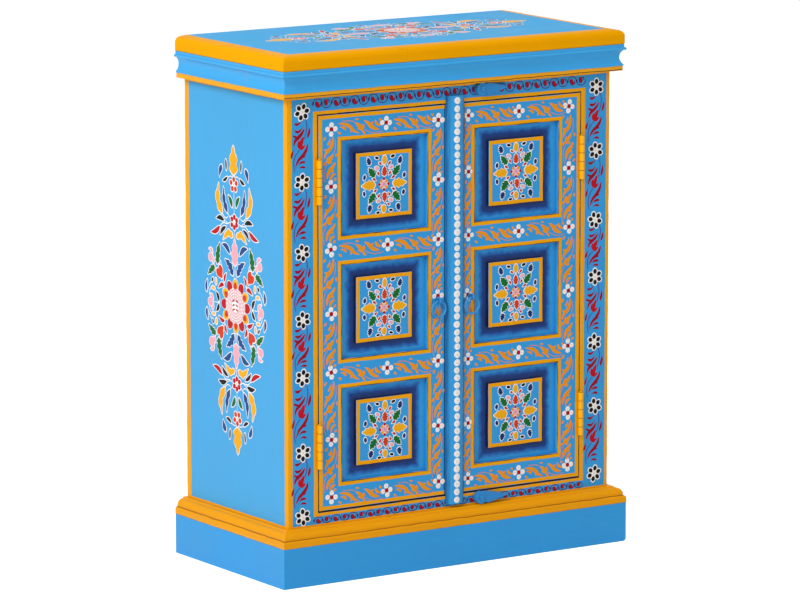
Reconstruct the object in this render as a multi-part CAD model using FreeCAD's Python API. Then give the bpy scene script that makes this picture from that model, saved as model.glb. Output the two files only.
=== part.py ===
import FreeCAD, Part
import math
import os

# A small painted two-door cabinet on a plinth, in millimetres.
# The origin is on the floor under the middle of the cabinet. X runs to the right,
# Y runs to the back and Z runs up, so the doors face -Y.

# Whole cabinet
overall_width = 600.0
overall_depth = 300.0
overall_height = 765.0

# Plinth boards, nailed round the foot of the carcass
plinth_height = 58.5
plinth_thickness = 21.0
plinth_edge_round = 1.2
worn_corner_radius = 5.0

# Base moulding, on top of the plinth boards
base_moulding_height = 24.0
base_ledge_width = 7.0
base_ledge_drop = 2.0
base_ledge_slope = 1.5
base_round_width = 9.0
base_round_drop = 9.5
base_step_width = 1.0
base_band_slope = 1.5
base_band_height = 8.5

# Carcass boards
side_thickness = 18.0
floor_thickness = 18.0
back_thickness = 6.0
shelf_thickness = 15.0
shelf_height = 385.0
shelf_front_gap = 5.0
shelf_back_gap = 1.0
shelf_side_gap = 0.3
cleat_width = 15.0
cleat_height = 15.0
cleat_end_gap = 8.0

# Face frame
frame_thickness = 20.0
frame_stile_width = 50.0
frame_rail_visible_bottom = 17.5
frame_rail_visible_top = 27.5
frame_rail_hidden_bottom = 42.0
frame_tenon_length = 22.0
frame_tenon_thickness = 7.0
frame_corner_round = 1.5

# Cornice moulding, under the top board
cornice_height = 39.0
cornice_top_width = 15.5
cornice_top_height = 4.5
cornice_bead_height = 4.0
cornice_bead_reach = 2.5
cornice_cove_width = 15.0
cornice_cove_height = 21.5
cornice_cove_depth = 4.8
cornice_lip_height = 1.5
cornice_fillet_width = 14.0

# Top board
top_thickness = 22.0
top_overhang = 16.0
top_crown_width = 20.0
top_crown_drop = 1.2
top_round_width = 8.0
top_round_drop = 9.0
top_round_bulge_share = 0.70
top_lower_round = 2.0

# Door stop under the top rail and floor edge that stops the doors
stop_thickness = 12.0
stop_height = 30.0
door_stop_lap = 6.0

# Doors
door_thickness = 20.0
door_proud = 0.4
door_side_gap = 2.0
door_top_gap = 2.0
door_bottom_gap = 3.0
door_middle_gap = 2.0
meeting_offset = 11.0
door_hinge_stile_width = 38.5
left_meeting_stile_width = 29.0
right_meeting_stile_width = 51.0
door_top_rail_width = 38.0
door_middle_rail_width = 41.5
door_bottom_rail_width = 38.5
door_tenon_length = 20.0
door_edge_round = 0.8
joint_fit = 0.1

# Door panels and the square blocks glued on them
panel_count = 3
panel_setback = 6.0
panel_thickness = 8.0
groove_depth = 8.0
panel_float = 0.5
block_size = 95.0
block_thickness = 4.0
block_edge_round = 0.8

# Rounded strip that covers the meeting of the doors
strip_width = 31.0
strip_reach = 7.5
strip_over_top = 11.0
strip_over_bottom = 12.0

# Hinges, one pair on each door
hinge_length = 65.0
hinge_inset = 62.0
hinge_knuckles = 5
hinge_knuckle_gap = 0.4
barrel_radius = 3.75
barrel_gap = 0.35
pin_radius = 1.6
pin_fit = 0.05
pin_head_radius = 2.6
pin_head_height = 1.2
leaf_thickness = 1.5
leaf_let_in = 1.1
leaf_width = 18.0
hinge_screws_each = 3
hinge_screw_spacing = 21.0
hinge_screw_stagger = 2.0
hinge_screw_radius = 1.5
hinge_screw_head_radius = 2.8
hinge_screw_length = 14.0
screw_fit = 0.02

# Ring pulls and the eyes that hold them
ring_wire_radius = 1.7
ring_radius = 11.7
ring_seat_gap = 0.3
eye_wire_radius = 1.1
eye_radius = 4.2
eye_collar_radius = 4.2
eye_collar_height = 1.0
eye_sink = 0.6
eye_shank_radius = 1.5
eye_shank_end_gap = 0.4
eye_rise = 2.5
left_eye_inset = 13.3
right_eye_inset = 43.0

# Turn buttons on the rails, turned aside
button_place = 48.5
button_moulding_gap = 0.7
button_head_radius = 9.2
button_neck_place = 6.2
button_shoulder_place = 11.5
button_shoulder_half = 8.4
button_root_share = 0.6
button_length = 42.0
button_tip_radius = 1.1
button_taper_bulge = 0.5
button_thickness = 8.0
button_gap = 0.3
button_washer_radius = 5.0
button_washer_thickness = 0.8
button_screw_radius = 2.0
button_screw_fit = 0.08
button_screw_head_radius = 3.6
button_screw_head_height = 1.8
button_screw_length = 16.0
button_slot_width = 0.9
button_slot_depth = 0.8

# Working allowances
cut_over = 1.0
edge_match = 0.01

# Places worked out from the sizes above
back_face = overall_depth / 2
front_face = plinth_thickness - overall_depth / 2
body_half = overall_width / 2 - plinth_thickness
carcass_top = overall_height - top_thickness
moulding_top = plinth_height + base_moulding_height
cornice_bottom = carcass_top - cornice_height
frame_back = front_face + frame_thickness
opening_half = body_half - frame_stile_width
opening_bottom = moulding_top + frame_rail_visible_bottom
opening_top = cornice_bottom - frame_rail_visible_top
inner_half = body_half - side_thickness
back_front = back_face - back_thickness
door_front = front_face - door_proud
door_back = door_front + door_thickness
door_low = opening_bottom + door_bottom_gap
door_high = opening_top - door_top_gap
floor_top = door_low + door_stop_lap / 2
floor_low = floor_top - floor_thickness
hinge_x = -opening_half + door_side_gap / 2
hinge_y = door_front - barrel_gap - barrel_radius
eye_z = (door_low + door_high) / 2 + eye_rise
ring_hang = eye_radius - eye_wire_radius - ring_wire_radius - ring_seat_gap
ring_top = eye_z - ring_hang
eye_shank_length = panel_setback - eye_shank_end_gap
eye_y = door_front - eye_collar_height - eye_radius - eye_wire_radius + eye_sink
field_front = door_front + panel_setback

nodes = {}


def vec(x, y, z):
    """A point or a direction."""
    return FreeCAD.Vector(x, y, z)


def box(x0, x1, y0, y1, z0, z1):
    """A board between two corners."""
    return Part.makeBox(x1 - x0, y1 - y0, z1 - z0, vec(x0, y0, z0))


def rod(start, direction, length, radius):
    """A round bar."""
    return Part.makeCylinder(radius, length, start, direction)


def mirrored(shape):
    """The same piece on the other side of the cabinet's middle plane."""
    return shape.mirror(vec(0, 0, 0), vec(1, 0, 0))


def joined(shapes):
    """Several overlapping shapes as one solid."""
    whole = shapes[0].fuse(shapes[1:])
    return whole.removeSplitter()


def edges_at(shape, along, **place):
    """Straight edges that run along one axis at the given places on the other axes."""
    found = []
    for edge in shape.Edges:
        run = edge.Vertexes[-1].Point - edge.Vertexes[0].Point
        middle = edge.CenterOfMass
        spans = {"x": abs(run.x), "y": abs(run.y), "z": abs(run.z)}
        others = [spans[axis] for axis in spans if axis != along]
        if spans[along] < edge_match or max(others) > edge_match:
            continue
        spot = {"x": middle.x, "y": middle.y, "z": middle.z}
        if all(abs(spot[axis] - place[axis]) < edge_match for axis in place):
            found.append(edge)
    return found


def rounded(shape, radius, edges):
    """The shape with the chosen edges rounded."""
    return shape.makeFillet(radius, edges)


def outline_face(path):
    """A flat face inside a closed outline of lines and three-point arcs.

    Each entry is a point, or a pair of points: an arc's middle and its end.
    """
    edges = []
    here = path[0]
    for step in path[1:] + path[:1]:
        if isinstance(step, tuple):
            edges.append(Part.Arc(here, step[0], step[1]).toShape())
            here = step[1]
        else:
            if (step - here).Length > edge_match:
                edges.append(Part.LineSegment(here, step).toShape())
            here = step
    return Part.Face(Part.Wire(edges))


def add(name, shape):
    """Keep a finished piece under its node's name."""
    nodes[name] = shape


def base_profile(place):
    """Base moulding's section; place turns a reach and a height into a point."""
    ledge_end = base_ledge_width
    round_start = ledge_end + base_ledge_slope
    round_end = round_start + base_round_width
    round_top = base_moulding_height - base_ledge_drop
    round_low = round_top - base_round_drop
    share = math.sqrt(0.5)
    arc_middle = place(round_start + base_round_width * share,
                       round_low + base_round_drop * share)
    return outline_face([
        place(0, 0),
        place(plinth_thickness, 0),
        place(plinth_thickness, base_band_height),
        place(plinth_thickness - base_band_slope, base_band_height + base_band_slope),
        place(round_end, base_band_height + base_band_slope + base_step_width),
        place(round_end, round_low),
        (arc_middle, place(round_start, round_top)),
        place(ledge_end, base_moulding_height),
        place(0, base_moulding_height),
    ])


def cornice_profile(place):
    """Cornice section: a band and bead above a hollow, with a flat fillet below."""
    bead_top = cornice_height - cornice_top_height
    bead_low = bead_top - cornice_bead_height
    cove_low = bead_low - cornice_cove_height
    fillet_top = cove_low - cornice_lip_height
    bead_middle = place(cornice_top_width + cornice_bead_reach, (bead_top + bead_low) / 2)
    cove_middle = place(cornice_cove_width - cornice_cove_depth, (bead_low + cove_low) / 2)
    return outline_face([
        place(0, 0),
        place(cornice_fillet_width, 0),
        place(cornice_fillet_width, fillet_top),
        place(cornice_cove_width, fillet_top),
        place(cornice_cove_width, cove_low),
        (cove_middle, place(cornice_cove_width, bead_low)),
        place(cornice_top_width, bead_low),
        (bead_middle, place(cornice_top_width, bead_top)),
        place(cornice_top_width, cornice_height),
        place(0, cornice_height),
    ])


def corner_wedge(reach, low, high, keep_side):
    """The half of a front corner that a mitre takes away from one moulding."""
    far = reach + cut_over
    corner = vec(-body_half, front_face, low)
    tip = vec(-body_half - far, front_face - far, low)
    if keep_side:
        third = vec(-body_half + cut_over, front_face - far, low)
        corner = vec(-body_half + cut_over, front_face + cut_over, low)
    else:
        third = vec(-body_half - far, front_face + cut_over, low)
        corner = vec(-body_half + cut_over, front_face + cut_over, low)
    wire = Part.makePolygon([corner, tip, third, corner])
    return Part.Face(wire).extrude(vec(0, 0, high - low))


def moulding_set(name, profile, low, height, reach):
    """A moulding along the front and both sides, mitred at the front corners."""
    front_length = 2 * (body_half + reach)

    def on_front(out, up):
        return vec(-body_half - reach, front_face - out, low + up)

    def on_left(out, up):
        return vec(-body_half - out, front_face - reach, low + up)

    front = profile(on_front).extrude(vec(front_length, 0, 0))
    side = profile(on_left).extrude(vec(0, back_face - front_face + reach, 0))
    from_front = corner_wedge(reach, low - cut_over, low + height + cut_over, False)
    from_side = corner_wedge(reach, low - cut_over, low + height + cut_over, True)
    add(name + "_front", front.cut(from_front).cut(mirrored(from_front)))
    left = side.cut(from_side)
    add(name + "_left", left)
    add(name + "_right", mirrored(left))


def make_plinth():
    """Four plinth boards; the front board covers the ends of the side boards."""
    half = overall_width / 2
    front_edge = -overall_depth / 2
    front = box(-half, half, front_edge, front_face, 0, plinth_height)
    front = rounded(front, worn_corner_radius, edges_at(front, "y", x=half, z=0))
    uprights = edges_at(front, "z", x=-half, y=front_edge) + edges_at(front, "z", x=half, y=front_edge)
    add("plinth_front", rounded(front, plinth_edge_round, uprights))
    left = box(-half, -body_half, front_face, back_face, 0, plinth_height)
    left = rounded(left, plinth_edge_round, edges_at(left, "z", x=-half, y=back_face))
    add("plinth_left", left)
    add("plinth_right", mirrored(left))
    back_board = box(-inner_half, inner_half, back_front - side_thickness, back_front, 0, plinth_height)
    add("plinth_back", back_board)


def frame_tenon(low, high):
    """A face rail's tenons at both ends, in one box through the rail."""
    middle = (front_face + frame_back) / 2
    reach = opening_half + frame_tenon_length
    return box(-reach, reach, middle - frame_tenon_thickness / 2,
               middle + frame_tenon_thickness / 2, low, high)


def make_carcass():
    """Side panels, floor, back, shelf and face frame."""
    side = box(-body_half, -inner_half, frame_back, back_face, 0, carcass_top)
    side = rounded(side, frame_corner_round / 2, edges_at(side, "z", x=-body_half, y=back_face))
    add("side_panel_left", side)
    add("side_panel_right", mirrored(side))

    rail_low = opening_bottom - frame_rail_visible_bottom - frame_rail_hidden_bottom
    bottom_tenon = frame_tenon(rail_low, opening_bottom)
    top_tenon = frame_tenon(opening_top, carcass_top - frame_thickness / 2)
    bottom_rail = box(-opening_half, opening_half, front_face, frame_back, rail_low, opening_bottom)
    top_rail = box(-opening_half, opening_half, front_face, frame_back, opening_top, carcass_top)
    add("face_rail_bottom", joined([bottom_rail, bottom_tenon]))
    add("face_rail_top", joined([top_rail, top_tenon]))

    stile = box(-body_half, -opening_half, front_face, frame_back, 0, carcass_top)
    stile = rounded(stile, frame_corner_round, edges_at(stile, "z", x=-body_half, y=front_face))
    stile = stile.cut(bottom_tenon).cut(top_tenon)
    leaf_pockets, screw_holes = frame_hinge_cuts()
    stile = stile.cut(leaf_pockets).cut(screw_holes)
    add("face_stile_left", stile)
    add("face_stile_right", mirrored(stile))

    add("bottom_board", box(-inner_half, inner_half, frame_back, back_front, floor_low, floor_top))
    add("back_panel", box(-inner_half, inner_half, back_front, back_face, 0, carcass_top))
    stop = box(-inner_half, inner_half, frame_back, frame_back + stop_thickness,
               door_high - door_stop_lap, door_high - door_stop_lap + stop_height)
    add("top_door_stop", stop)

    shelf = box(-inner_half + shelf_side_gap, inner_half - shelf_side_gap,
                frame_back + shelf_front_gap, back_front - shelf_back_gap,
                shelf_height, shelf_height + shelf_thickness)
    add("shelf", shelf)
    cleat = box(-inner_half, -inner_half + cleat_width,
                frame_back + shelf_front_gap + cleat_end_gap, back_front - cleat_end_gap,
                shelf_height - cleat_height, shelf_height)
    add("shelf_cleat_left", cleat)
    add("shelf_cleat_right", mirrored(cleat))


def top_edge_profile(place):
    """The waste outside the top board's edge; place turns a reach and a height into a point.

    The edge is a shallow crown, then a rounded nose, a straight face and a small lower round.
    """
    nose_start = top_thickness - top_crown_drop
    nose_end = nose_start - top_round_drop
    bulge_in = top_round_width * (1 - top_round_bulge_share)
    bulge_down = top_round_drop * (1 - top_round_bulge_share)
    crown_middle = place((top_crown_width + top_round_width) / 2, top_thickness - top_crown_drop / 4)
    nose_middle = place(bulge_in, nose_start - bulge_down)
    lower_share = 1 - math.sqrt(0.5)
    lower_middle = place(top_lower_round * lower_share, top_lower_round * lower_share)
    return outline_face([
        place(top_crown_width, top_thickness),
        (crown_middle, place(top_round_width, nose_start)),
        (nose_middle, place(0, nose_end)),
        place(0, top_lower_round),
        (lower_middle, place(top_lower_round, 0)),
        place(top_lower_round, -cut_over),
        place(-cut_over, -cut_over),
        place(-cut_over, top_thickness + cut_over),
        place(top_crown_width, top_thickness + cut_over),
    ])


def make_top():
    """Top board with a rounded nose along the front and both sides, square at the back."""
    half = body_half + top_overhang
    front_edge = front_face - top_overhang
    board = box(-half, half, front_edge, back_face, carcass_top, overall_height)

    def on_front(inward, up):
        return vec(-half - cut_over, front_edge + inward, carcass_top + up)

    def on_left(inward, up):
        return vec(-half + inward, front_edge - cut_over, carcass_top + up)

    front_waste = top_edge_profile(on_front).extrude(vec(2 * (half + cut_over), 0, 0))
    side_waste = top_edge_profile(on_left).extrude(vec(0, back_face - front_edge + 2 * cut_over, 0))
    add("top_board", board.cut(front_waste).cut(side_waste).cut(mirrored(side_waste)))


def hinge_middles():
    """Heights of the two hinges' middles."""
    return [door_low + hinge_inset + hinge_length / 2, door_high - hinge_inset - hinge_length / 2]


def knuckle_spans(middle):
    """Lower and upper ends of each knuckle, from the bottom up."""
    low = middle - hinge_length / 2
    pitch = (hinge_length + hinge_knuckle_gap) / hinge_knuckles
    return [(low + i * pitch, low + (i + 1) * pitch - hinge_knuckle_gap) for i in range(hinge_knuckles)]


def leaf_span(on_door):
    """Near and far side of a left-hand leaf's plate, along X."""
    if on_door:
        far = -opening_half + door_side_gap + leaf_let_in
        return far - leaf_thickness, far
    near = -opening_half - leaf_let_in
    return near, near + leaf_thickness


def hinge_leaf(middle, on_door):
    """One leaf of a left-hand hinge: a plate and its knuckles round the pin."""
    x0, x1 = leaf_span(on_door)
    low, high = middle - hinge_length / 2, middle + hinge_length / 2
    leaf = box(x0, x1, hinge_y, hinge_y + leaf_width, low, high)
    spans = knuckle_spans(middle)
    own = [span for i, span in enumerate(spans) if (i % 2 == 1) == on_door]
    other = [span for i, span in enumerate(spans) if (i % 2 == 1) != on_door]
    clear_radius = barrel_radius + barrel_gap
    for z0, z1 in other:
        z_low, z_high = z0 - hinge_knuckle_gap, z1 + hinge_knuckle_gap
        leaf = leaf.cut(rod(vec(hinge_x, hinge_y, z_low), vec(0, 0, 1), z_high - z_low, clear_radius))
    for z0, z1 in own:
        leaf = leaf.fuse(rod(vec(hinge_x, hinge_y, z0), vec(0, 0, 1), z1 - z0, barrel_radius))
    bore = rod(vec(hinge_x, hinge_y, low - cut_over), vec(0, 0, 1),
               hinge_length + 2 * cut_over, pin_radius + pin_fit)
    return leaf.cut(bore).removeSplitter()


def hinge_screw(middle, index, on_door, fit):
    """One countersunk screw, or its hole when a fit is added."""
    x0, x1 = leaf_span(on_door)
    head_x = x0 if on_door else x1
    inward = vec(1, 0, 0) if on_door else vec(-1, 0, 0)
    offset = index - (hinge_screws_each - 1) / 2
    stagger = hinge_screw_stagger if index % 2 else -hinge_screw_stagger
    plate_middle = (door_front + hinge_y + leaf_width) / 2
    start = vec(head_x, plate_middle + stagger, middle + offset * hinge_screw_spacing)
    head = Part.makeCone(hinge_screw_head_radius + fit, hinge_screw_radius + fit,
                         leaf_thickness, start, inward)
    shank = rod(start, inward, hinge_screw_length, hinge_screw_radius + fit)
    return joined([head, shank])


def hinge_screws(on_door, fit):
    """All screws of the left-hand pair's leaves on one side."""
    return [hinge_screw(middle, i, on_door, fit)
            for middle in hinge_middles() for i in range(hinge_screws_each)]


def frame_hinge_cuts():
    """Leaf pockets and screw holes in the left face stile."""
    x0, x1 = leaf_span(False)
    pockets = [box(x0 - joint_fit, x1, front_face - cut_over, hinge_y + leaf_width + joint_fit,
                   middle - hinge_length / 2 - joint_fit, middle + hinge_length / 2 + joint_fit)
               for middle in hinge_middles()]
    return Part.makeCompound(pockets), Part.makeCompound(hinge_screws(False, screw_fit))


def hinge_pin(middle):
    """A hinge pin with a flat head above the top knuckle."""
    low, high = middle - hinge_length / 2, middle + hinge_length / 2
    shaft = rod(vec(hinge_x, hinge_y, low), vec(0, 0, 1), hinge_length, pin_radius)
    head = rod(vec(hinge_x, hinge_y, high), vec(0, 0, 1), pin_head_height, pin_head_radius)
    return joined([shaft, head])


def make_frame_hinges():
    """Frame leaves, pins and frame screws of all four hinges."""
    leaves = []
    for middle in hinge_middles():
        leaf = hinge_leaf(middle, False)
        for screw in hinge_screws(False, screw_fit):
            leaf = leaf.cut(screw)
        leaves.append(leaf)
    pins = [hinge_pin(middle) for middle in hinge_middles()]
    screws = hinge_screws(False, 0)
    add("hinge_frame_leaves", Part.makeCompound(leaves + [mirrored(leaf) for leaf in leaves]))
    add("hinge_pins", Part.makeCompound(pins + [mirrored(pin) for pin in pins]))
    add("hinge_frame_screws", Part.makeCompound(screws + [mirrored(screw) for screw in screws]))


def panel_rows():
    """Lower and upper ends of the panel openings, from the top down."""
    rails = door_top_rail_width + door_bottom_rail_width + (panel_count - 1) * door_middle_rail_width
    height = (door_high - door_low - rails) / panel_count
    pitch = height + door_middle_rail_width
    top = door_high - door_top_rail_width
    return [(top - i * pitch - height, top - i * pitch) for i in range(panel_count)]


def rail_rows():
    """Lower and upper ends of the door rails, from the top down."""
    rows = panel_rows()
    edges = [door_high]
    for low, high in rows:
        edges += [high, low]
    edges.append(door_low)
    return [(edges[i + 1], edges[i]) for i in range(0, len(edges), 2)]


def ring_eye(x):
    """A ring's eye: a loop on a collar, with a shank into the door."""
    loop = Part.makeTorus(eye_radius, eye_wire_radius, vec(x, eye_y, eye_z), vec(1, 0, 0))
    collar = rod(vec(x, door_front - eye_collar_height, eye_z), vec(0, 1, 0),
                 eye_collar_height, eye_collar_radius)
    return joined([collar, loop, eye_shank(x, 0)])


def eye_shank(x, fit):
    """The shank of a ring's eye, or its hole when a fit is added."""
    return rod(vec(x, door_front - eye_collar_height, eye_z), vec(0, 1, 0),
               eye_collar_height + eye_shank_length, eye_shank_radius + fit)


def make_door(name, x0, x1, hinge_left, meeting_width, eye_x):
    """One door: a tenoned frame, three panels with blocks, hinge leaves and a ring's eye."""
    low_width = door_hinge_stile_width if hinge_left else meeting_width
    high_width = meeting_width if hinge_left else door_hinge_stile_width
    open0, open1 = x0 + low_width, x1 - high_width
    tongue = groove_depth - panel_float
    field_back = field_front + panel_thickness

    grooves = [box(open0 - groove_depth, open1 + groove_depth, field_front - joint_fit,
                   field_back + joint_fit, low - groove_depth, high + groove_depth)
               for low, high in panel_rows()]
    tenons = [box(open0 - door_tenon_length, open1 + door_tenon_length, field_front, field_back,
                  low + groove_depth, high - groove_depth)
              for low, high in rail_rows()]
    groove_set = Part.makeCompound(grooves)
    eye_hole = eye_shank(eye_x, screw_fit)

    leaves = [hinge_leaf(middle, True) for middle in hinge_middles()]
    leaf_x0, leaf_x1 = leaf_span(True)
    pockets = [box(leaf_x0, leaf_x1 + joint_fit, door_front - cut_over,
                   hinge_y + leaf_width + joint_fit, middle - hinge_length / 2 - joint_fit,
                   middle + hinge_length / 2 + joint_fit)
               for middle in hinge_middles()]
    screws = hinge_screws(True, 0)
    holes = hinge_screws(True, screw_fit)
    for hole in holes:
        leaves = [leaf.cut(hole) for leaf in leaves]
    if not hinge_left:
        leaves = [mirrored(leaf) for leaf in leaves]
        pockets = [mirrored(pocket) for pocket in pockets]
        screws = [mirrored(screw) for screw in screws]
        holes = [mirrored(hole) for hole in holes]
    hinge_cuts = Part.makeCompound(pockets + holes)

    low_stile = box(x0, open0, door_front, door_back, door_low, door_high)
    high_stile = box(open1, x1, door_front, door_back, door_low, door_high)
    low_stile = rounded(low_stile, door_edge_round, edges_at(low_stile, "z", x=x0, y=door_front))
    high_stile = rounded(high_stile, door_edge_round, edges_at(high_stile, "z", x=x1, y=door_front))
    stiles = []
    for stile in (low_stile, high_stile):
        stile = stile.cut(groove_set).cut(hinge_cuts).cut(eye_hole)
        for tenon in tenons:
            stile = stile.cut(tenon)
        stiles.append(stile)
    hinge_stile, meeting_stile = stiles if hinge_left else stiles[::-1]
    add(name + "_hinge_stile", hinge_stile)
    add(name + "_meeting_stile", meeting_stile)

    rail_names = ["rail_top", "rail_upper", "rail_lower", "rail_bottom"]
    for rail_name, (low, high), tenon in zip(rail_names, rail_rows(), tenons):
        rail = box(open0, open1, door_front, door_back, low, high)
        rail = rail.cut(groove_set)
        add(name + "_" + rail_name, joined([rail, tenon]))

    middle_x = (open0 + open1) / 2
    blocks = []
    for panel_name, (low, high) in zip(["top", "middle", "bottom"], panel_rows()):
        panel = box(open0 - tongue, open1 + tongue, field_front, field_back, low - tongue, high + tongue)
        add(name + "_panel_" + panel_name, panel)
        middle_z = (low + high) / 2
        block_front = field_front - block_thickness
        block = box(middle_x - block_size / 2, middle_x + block_size / 2, block_front, field_front,
                    middle_z - block_size / 2, middle_z + block_size / 2)
        rim = edges_at(block, "x", y=block_front) + edges_at(block, "z", y=block_front)
        blocks.append(rounded(block, block_edge_round, rim))
    add(name + "_panel_blocks", Part.makeCompound(blocks))

    add(name + "_hinge_leaves", Part.makeCompound(leaves))
    add(name + "_hinge_screws", Part.makeCompound(screws))
    add(name + "_ring_eye", ring_eye(eye_x))


def make_strip(x0):
    """The rounded strip on the right door, over the meeting of the doors."""
    low, high = opening_bottom - strip_over_bottom, opening_top + strip_over_top
    middle = x0 + strip_width / 2
    half = strip_width / 2
    ellipse = Part.Ellipse(vec(middle, door_front, low), half, strip_reach)
    curve = Part.Arc(ellipse, math.pi, 2 * math.pi).toShape()
    base = Part.LineSegment(vec(x0 + strip_width, door_front, low), vec(x0, door_front, low)).toShape()
    section = Part.Face(Part.Wire([curve, base]))
    add("centre_strip", section.extrude(vec(0, 0, high - low)))


def make_ring(name, x):
    """A ring that hangs from its eye, parallel with the door."""
    ring = Part.makeTorus(ring_radius, ring_wire_radius, vec(x, eye_y, ring_top - ring_radius), vec(0, 1, 0))
    add(name, ring)


def turn_button(z):
    """A wooden button that points to the right: a round head, then an arm with a shoulder and a taper."""
    back = front_face - button_washer_thickness - button_gap
    front = back - button_thickness
    neck_half = math.sqrt(button_head_radius ** 2 - button_neck_place ** 2)
    root_half = neck_half * button_root_share
    taper_along = (button_shoulder_place + button_length) / 2
    taper_half = (button_shoulder_half + button_tip_radius) / 2 + button_taper_bulge

    def at(along, across):
        return vec(button_place + along, front, z + across)

    arm = outline_face([
        at(0, -root_half),
        at(0, root_half),
        (at(button_neck_place, neck_half), at(button_shoulder_place, button_shoulder_half)),
        (at(taper_along, taper_half), at(button_length, button_tip_radius)),
        (at(button_length + button_tip_radius, 0), at(button_length, -button_tip_radius)),
        (at(taper_along, -taper_half), at(button_shoulder_place, -button_shoulder_half)),
        (at(button_neck_place, -neck_half), at(0, -root_half)),
    ]).extrude(vec(0, button_thickness, 0))
    head = rod(vec(button_place, front, z), vec(0, 1, 0), button_thickness, button_head_radius)
    hole = rod(vec(button_place, front - cut_over, z), vec(0, 1, 0),
               button_thickness + 2 * cut_over, button_screw_radius + button_screw_fit)
    return joined([head, arm]).cut(hole)


def button_screw(z, fit):
    """A button's pivot screw with a slotted head, or its hole when a fit is added."""
    head_back = front_face - button_washer_thickness - button_thickness - 2 * button_gap
    head_front = head_back - button_screw_head_height
    shank = rod(vec(button_place, head_back, z), vec(0, 1, 0),
                front_face - head_back + button_screw_length, button_screw_radius + fit)
    if fit:
        return shank
    head = rod(vec(button_place, head_front, z), vec(0, 1, 0),
               button_screw_head_height, button_screw_head_radius)
    slot = box(button_place - button_screw_head_radius, button_place + button_screw_head_radius,
               head_front, head_front + button_slot_depth,
               z - button_slot_width / 2, z + button_slot_width / 2)
    return joined([head, shank]).cut(slot)


def make_buttons():
    """Two turn buttons with their washers and pivot screws."""
    reach = button_moulding_gap + button_head_radius
    heights = [cornice_bottom - reach, moulding_top + reach]
    add("top_turn_button", turn_button(heights[0]))
    add("bottom_turn_button", turn_button(heights[1]))
    washers = []
    for z in heights:
        disc = rod(vec(button_place, front_face - button_washer_thickness, z), vec(0, 1, 0),
                   button_washer_thickness, button_washer_radius)
        washers.append(disc.cut(button_screw(z, screw_fit)))
    add("turn_button_washers", Part.makeCompound(washers))
    add("turn_button_screws", Part.makeCompound([button_screw(z, 0) for z in heights]))
    nodes["face_rail_top"] = nodes["face_rail_top"].cut(button_screw(heights[0], screw_fit))
    nodes["face_rail_bottom"] = nodes["face_rail_bottom"].cut(button_screw(heights[1], screw_fit))


def main():
    make_plinth()
    moulding_set("base_moulding", base_profile, plinth_height, base_moulding_height, plinth_thickness)
    make_carcass()
    moulding_set("cornice", cornice_profile, cornice_bottom, cornice_height,
                 cornice_top_width + cornice_bead_reach)
    make_top()
    make_frame_hinges()

    left_edge = -opening_half + door_side_gap
    right_edge = opening_half - door_side_gap
    left_meeting = -meeting_offset - door_middle_gap / 2
    right_meeting = -meeting_offset + door_middle_gap / 2
    left_eye_x = left_meeting - left_eye_inset
    right_eye_x = right_meeting + right_eye_inset
    make_door("left_door", left_edge, left_meeting, True, left_meeting_stile_width, left_eye_x)
    make_door("right_door", right_meeting, right_edge, False, right_meeting_stile_width, right_eye_x)
    make_strip(right_meeting)
    make_ring("left_ring", left_eye_x)
    make_ring("right_ring", right_eye_x)
    make_buttons()

    os.makedirs("parts", exist_ok=True)
    for name, shape in nodes.items():
        shape.exportStep("parts/" + name + ".step")
        print(name, len(shape.Solids), round(shape.Volume, 1))
    print(len(nodes), "nodes")


main()
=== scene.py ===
"""The looks of the painted sideboard cabinet: its enamel paints, its brushed flowers, light and camera.

Sizes and places are in millimetres. The motifs are written as seen by someone who stands in front of the
painted face: u runs to the right, v upwards, and h is the height of the paint over the wood.
"""

import bpy
import numpy as np
from mathutils import Matrix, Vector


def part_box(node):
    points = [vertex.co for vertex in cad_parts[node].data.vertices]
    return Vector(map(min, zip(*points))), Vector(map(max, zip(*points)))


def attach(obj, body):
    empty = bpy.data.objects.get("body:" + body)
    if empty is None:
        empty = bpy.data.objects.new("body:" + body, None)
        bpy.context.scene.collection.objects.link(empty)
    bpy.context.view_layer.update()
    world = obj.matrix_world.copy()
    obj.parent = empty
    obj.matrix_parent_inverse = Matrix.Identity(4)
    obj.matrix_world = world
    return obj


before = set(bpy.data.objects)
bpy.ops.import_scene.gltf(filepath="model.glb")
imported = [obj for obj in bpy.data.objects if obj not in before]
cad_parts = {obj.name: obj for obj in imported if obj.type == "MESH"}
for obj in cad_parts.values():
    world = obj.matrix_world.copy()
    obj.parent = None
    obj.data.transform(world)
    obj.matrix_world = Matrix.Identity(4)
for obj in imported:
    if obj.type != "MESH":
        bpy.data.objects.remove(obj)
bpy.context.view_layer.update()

MM = 0.001

# Every slip of the free hand is drawn from here, in the order of the brush strokes.
hand = np.random.default_rng(11)


def node_box(name):
    """Lowest and highest corner of a CAD node: its box in metres, divided by a millimetre."""
    low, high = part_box(name)
    return np.array(low) / MM, np.array(high) / MM


def into_scene(name, data):
    """A new object of the scene for a mesh, a lamp or a camera, at the origin."""
    made = bpy.data.objects.new(name, data)
    bpy.context.scene.collection.objects.link(made)
    return made


stile_low, stile_high = node_box("face_stile_left")
side_low, side_high = node_box("side_panel_left")
top_low, top_high = node_box("top_board")
cornice_low, cornice_high = node_box("cornice_front")
base_low, base_high = node_box("base_moulding_front")
strip_low, strip_high = node_box("centre_strip")
hinge_low, hinge_high = node_box("left_door_hinge_leaves")
blocks_low, blocks_high = node_box("left_door_panel_blocks")
left_hinge_low, left_hinge_high = node_box("left_door_hinge_stile")
left_meeting_low, left_meeting_high = node_box("left_door_meeting_stile")
right_hinge_edge = node_box("right_door_hinge_stile")[1][0]
door_rails = [node_box("left_door_rail_" + level) for level in ("top", "upper", "lower", "bottom")]

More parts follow.
